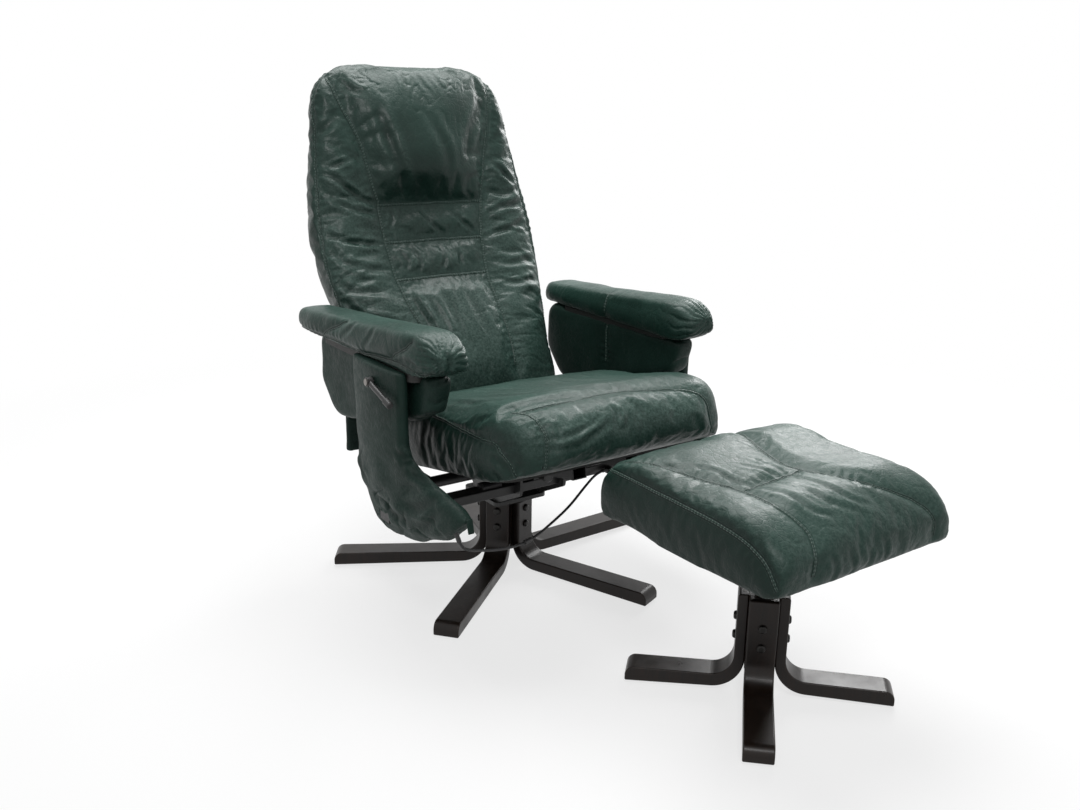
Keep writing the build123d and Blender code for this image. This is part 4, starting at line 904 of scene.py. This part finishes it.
def draw_soft(node, name, body, material, voxel, loose):
    """Draws one soft piece. Gives its seams, each with its rows, line and finished surface."""
    piece = link_mesh(name, nodes[node].data.copy(), material)
    remesh(piece, voxel, smoothing_rounds=4)
    if node == "back_cushion":
        panel_drawn(piece)
    surface = surface_of(piece)
    seams = [(rows, laid(smooth_line(points, LINE_STEP), surface)[0])
             for rows, points in SEAMS.get(node, ())]
    if node in SWOLLEN:
        distance = line_field(points_of(piece.data), [line for rows, line in seams])[0]
        under = step_up(-normals_of(piece.data)[:, 2], *UNDERSIDE)
        inflated(piece, np.maximum(bell(distance, HELD_WIDTH), under), *SWOLLEN[node])
    if loose is not None:
        formed(piece, node, seams, surface, loose)
    finish_soft(piece, node, body)
    finished = surface_of(piece)
    return [(rows, line, finished) for rows, line in seams]


strips = {"carrier": [], "back": [], "stool": []}
for node, name, body, material, voxel, fill, loose in SOFT:
    strips[body] += draw_soft(node, name, body, material, voxel, loose)


# Seam strips and stitches, laid on the finished leather
# A profile has places across the seam and heights in millimetres, with 1 in its grooves, which get painted
# shade
PROFILES = {
    1: ((-4.2, -0.8, 0), (-2.6, 0.55, 0), (-1.1, 0.65, 0), (-0.45, -1.5, 1), (0.45, -1.5, 1),
        (1.1, 0.65, 0), (2.6, 0.55, 0), (4.2, -0.8, 0)),
    2: ((-6.4, -1.0, 0), (-4.8, 0.4, 0), (-4.0, -1.2, 1), (-2.8, -1.2, 1), (-2.0, 0.8, 0),
        (0.0, 1.0, 0), (2.0, 0.8, 0), (2.8, -1.2, 1), (4.0, -1.2, 1), (4.8, 0.4, 0),
        (6.4, -1.0, 0)),
}
STRIP_LIFT, STRIP_HUG = 0.35, 0.6
# Points of a line that lie closer than this are dropped, as they would give it no direction
LEAST_STEP = 0.001
STITCH_PLACES = {1: (2.2,), 2: (-1.4, 1.4)}
STITCH_LIFT = {1: 1.10, 2: 1.20}
STITCH_PITCH = 0.0062
STITCH_MARGIN = 0.006
STITCH_SIDES = 5
# Rings of a stitch: place along it, radius and rise, in millimetres
STITCH_RINGS = ((-2.1, 0.10, -0.5), (-1.4, 0.42, 0), (0, 0.48, 0.1), (1.4, 0.42, 0),
                (2.1, 0.10, -0.5))


def frames_on(line, surface):
    """A smooth line on a surface with its normals, its tangents and the directions across it."""
    places, normals = laid(line, surface)
    moved = np.linalg.norm(np.diff(places, axis=0), axis=1) > LEAST_STEP
    kept = np.concatenate(([True], moved))
    places, normals = places[kept], normals[kept]
    for smoothing_round in range(3):
        places[1:-1] = (places[:-2] + 2 * places[1:-1] + places[2:]) / 4
        normals[1:-1] = (normals[:-2] + 2 * normals[1:-1] + normals[2:]) / 4
    tangents = np.gradient(places, axis=0)
    tangents /= np.linalg.norm(tangents, axis=1)[:, None]
    across = np.cross(tangents, normals)
    across /= np.linalg.norm(across, axis=1)[:, None]
    return places, normals, tangents, across


def add_strip(rows, frames, surface, vertices, faces, folds):
    """Adds one seam's strip, which flattens out at both ends."""
    places, normals, tangents, across = frames
    profile = PROFILES[rows]
    width = len(profile)
    first = len(vertices)
    for k, middle in enumerate(places):
        ends = min(1.0, (k + 0.3) / 2, (len(places) - 0.7 - k) / 2)
        for offset, rise, dark in profile:
            spot = Vector(middle + across[k] * offset * MM)
            base = spot.lerp(surface.find_nearest(spot)[0], STRIP_HUG)
            vertices.append(base + Vector(normals[k]) * (rise * ends + STRIP_LIFT) * MM)
            # folds holds each strip vertex's painted shade
            folds.append(dark)
    for k in range(len(places) - 1):
        for j in range(width - 1):
            low = first + k * width + j
            faces.append((low, low + width, low + width + 1, low + 1))


def add_stitches(rows, frames, surface, vertices, faces):
    """Adds one seam's stitches, each a short spindle of thread."""
    places, normals, tangents, across = frames
    run = LINE_STEP * len(places)
    for offset in STITCH_PLACES[rows]:
        for start in np.arange(STITCH_MARGIN, run - STITCH_MARGIN, STITCH_PITCH):
            k = min(len(places) - 2, int(start / LINE_STEP))
            middle = places[k] + tangents[k] * (start - k * LINE_STEP) + across[k] * offset * MM
            middle = np.array(surface.find_nearest(Vector(middle))[0]) * 0.5 + middle * 0.5
            middle = middle + normals[k] * STITCH_LIFT[rows] * MM
            first = len(vertices)
            for along, radius, rise in STITCH_RINGS:
                for side in range(STITCH_SIDES):
                    angle = side * 2 * math.pi / STITCH_SIDES
                    vertices.append(middle + (tangents[k] * along + normals[k] * rise
                                              + across[k] * math.cos(angle) * radius
                                              + normals[k] * math.sin(angle) * radius) * MM)
            for ring in range(len(STITCH_RINGS) - 1):
                low = first + ring * STITCH_SIDES
                for side in range(STITCH_SIDES):
                    a, b = low + side, low + (side + 1) % STITCH_SIDES
                    faces.append((a, b, b + STITCH_SIDES, a + STITCH_SIDES))


def sewing_piece(name, vertices, faces, material, body):
    mesh = bpy.data.meshes.new(name)
    mesh.from_pydata([tuple(v) for v in vertices], [], faces)
    piece = link_mesh(name, mesh, material)
    shade_smooth(piece)
    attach(piece, body)
    return mesh


for body, seams in strips.items():
    vertices, faces, folds = [], [], []
    thread_vertices, thread_faces = [], []
    for rows, line, surface in seams:
        frames = frames_on(line, surface)
        add_strip(rows, frames, surface, vertices, faces, folds)
        add_stitches(rows, frames, surface, thread_vertices, thread_faces)
    mesh = sewing_piece("seams_" + body, vertices, faces, leather_seam_shaded, body)
    # The strip's grooves get painted shade, and the rest is lightened for wear and painted sheen
    groove_shade = np.array(folds, dtype=float)
    set_layer(mesh, "painted_shade", groove_shade)
    set_layer(mesh, "wear_and_sheen", 0.5 * (1 - groove_shade))
    sewing_piece("stitches_" + body, thread_vertices, thread_faces, thread, body)


# Floor, world and lights
FLOOR_REACH = 14.0
FLOOR_DEPTH = 0.0005
FLOOR_SPOT_SCALE = 0.42


def seen_rays(tree):
    """1 for the rays of the camera, of gloss and of glass, which show the white background."""
    path = add(tree, "ShaderNodeLightPath")
    total = path.outputs["Is Camera Ray"]
    for name in ("Is Glossy Ray", "Is Transmission Ray"):
        total = combined(tree, "MAXIMUM", total, path.outputs[name])
    return total


def draw_floor():
    """A matt grey floor, seen as pale with its shadows near the chair and as white beyond."""
    reach = FLOOR_REACH
    corners = [(-reach, -reach, 0), (reach, -reach, 0), (reach, reach, 0), (-reach, reach, 0)]
    mesh = bpy.data.meshes.new("floor")
    mesh.from_pydata(corners, [], [(0, 1, 2, 3)])
    floor = bpy.data.objects.new("floor", mesh)
    bpy.context.scene.collection.objects.link(floor)
    floor.location.z = -FLOOR_DEPTH
    material = bpy.data.materials.new("floor")
    material.use_nodes = True
    tree = material.node_tree
    output = cleared(tree)
    matt = add(tree, "ShaderNodeBsdfDiffuse", Color=(0.32, 0.32, 0.32, 1))
    pale = add(tree, "ShaderNodeBsdfDiffuse", Color=(0.95, 0.95, 0.95, 1))
    glow = add(tree, "ShaderNodeEmission", Color=(1, 1, 1, 1), Strength=1.0)
    spot = textured(tree, "ShaderNodeTexGradient", object_coordinates(tree, (FLOOR_SPOT_SCALE,) * 3),
                    gradient_type="SPHERICAL")
    white_share = ramp(tree, spot, ((0.05, 1.0), (0.45, 0.72)))
    shown = blended(tree, white_share, pale.outputs["BSDF"], glow.outputs["Emission"])
    surface = blended(tree, seen_rays(tree), matt.outputs["BSDF"], shown)
    tree.links.new(surface, output.inputs["Surface"])
    mesh.materials.append(material)


def draw_world():
    """Dim light from all round, which the camera sees as white."""
    world = bpy.data.worlds.new("world")
    bpy.context.scene.world = world
    world.use_nodes = True
    tree = world.node_tree
    output = cleared(tree, "ShaderNodeOutputWorld")
    dim = add(tree, "ShaderNodeBackground", Color=(0.80, 0.82, 0.84, 1), Strength=0.13)
    white = add(tree, "ShaderNodeBackground", Color=(1, 1, 1, 1), Strength=1.0)
    surface = blended(tree, seen_rays(tree), dim.outputs["Background"], white.outputs["Background"])
    tree.links.new(surface, output.inputs["Surface"])


def area_light(name, position, target, size, power):
    data = bpy.data.lights.new(name, "AREA")
    data.shape = "RECTANGLE"
    data.size, data.size_y = size
    data.energy = power
    light = bpy.data.objects.new(name, data)
    bpy.context.scene.collection.objects.link(light)
    light.location = position
    light.rotation_mode = "QUATERNION"
    light.rotation_quaternion = (Vector(target) - Vector(position)).to_track_quat("-Z", "Y")


draw_floor()
draw_world()
area_light("overhead", (0.4, 0.9, 2.9), (0, 0.1, 0.4), (2.2, 1.8), 95)
area_light("window", (2.6, 1.4, 1.9), (0, 0.1, 0.6), (1.0, 1.4), 40)
area_light("front_high", (-1.3, -2.3, 2.9), (0, 0.1, 0.6), (1.1, 0.9), 40)
bpy.context.scene.view_settings.view_transform = "Standard"
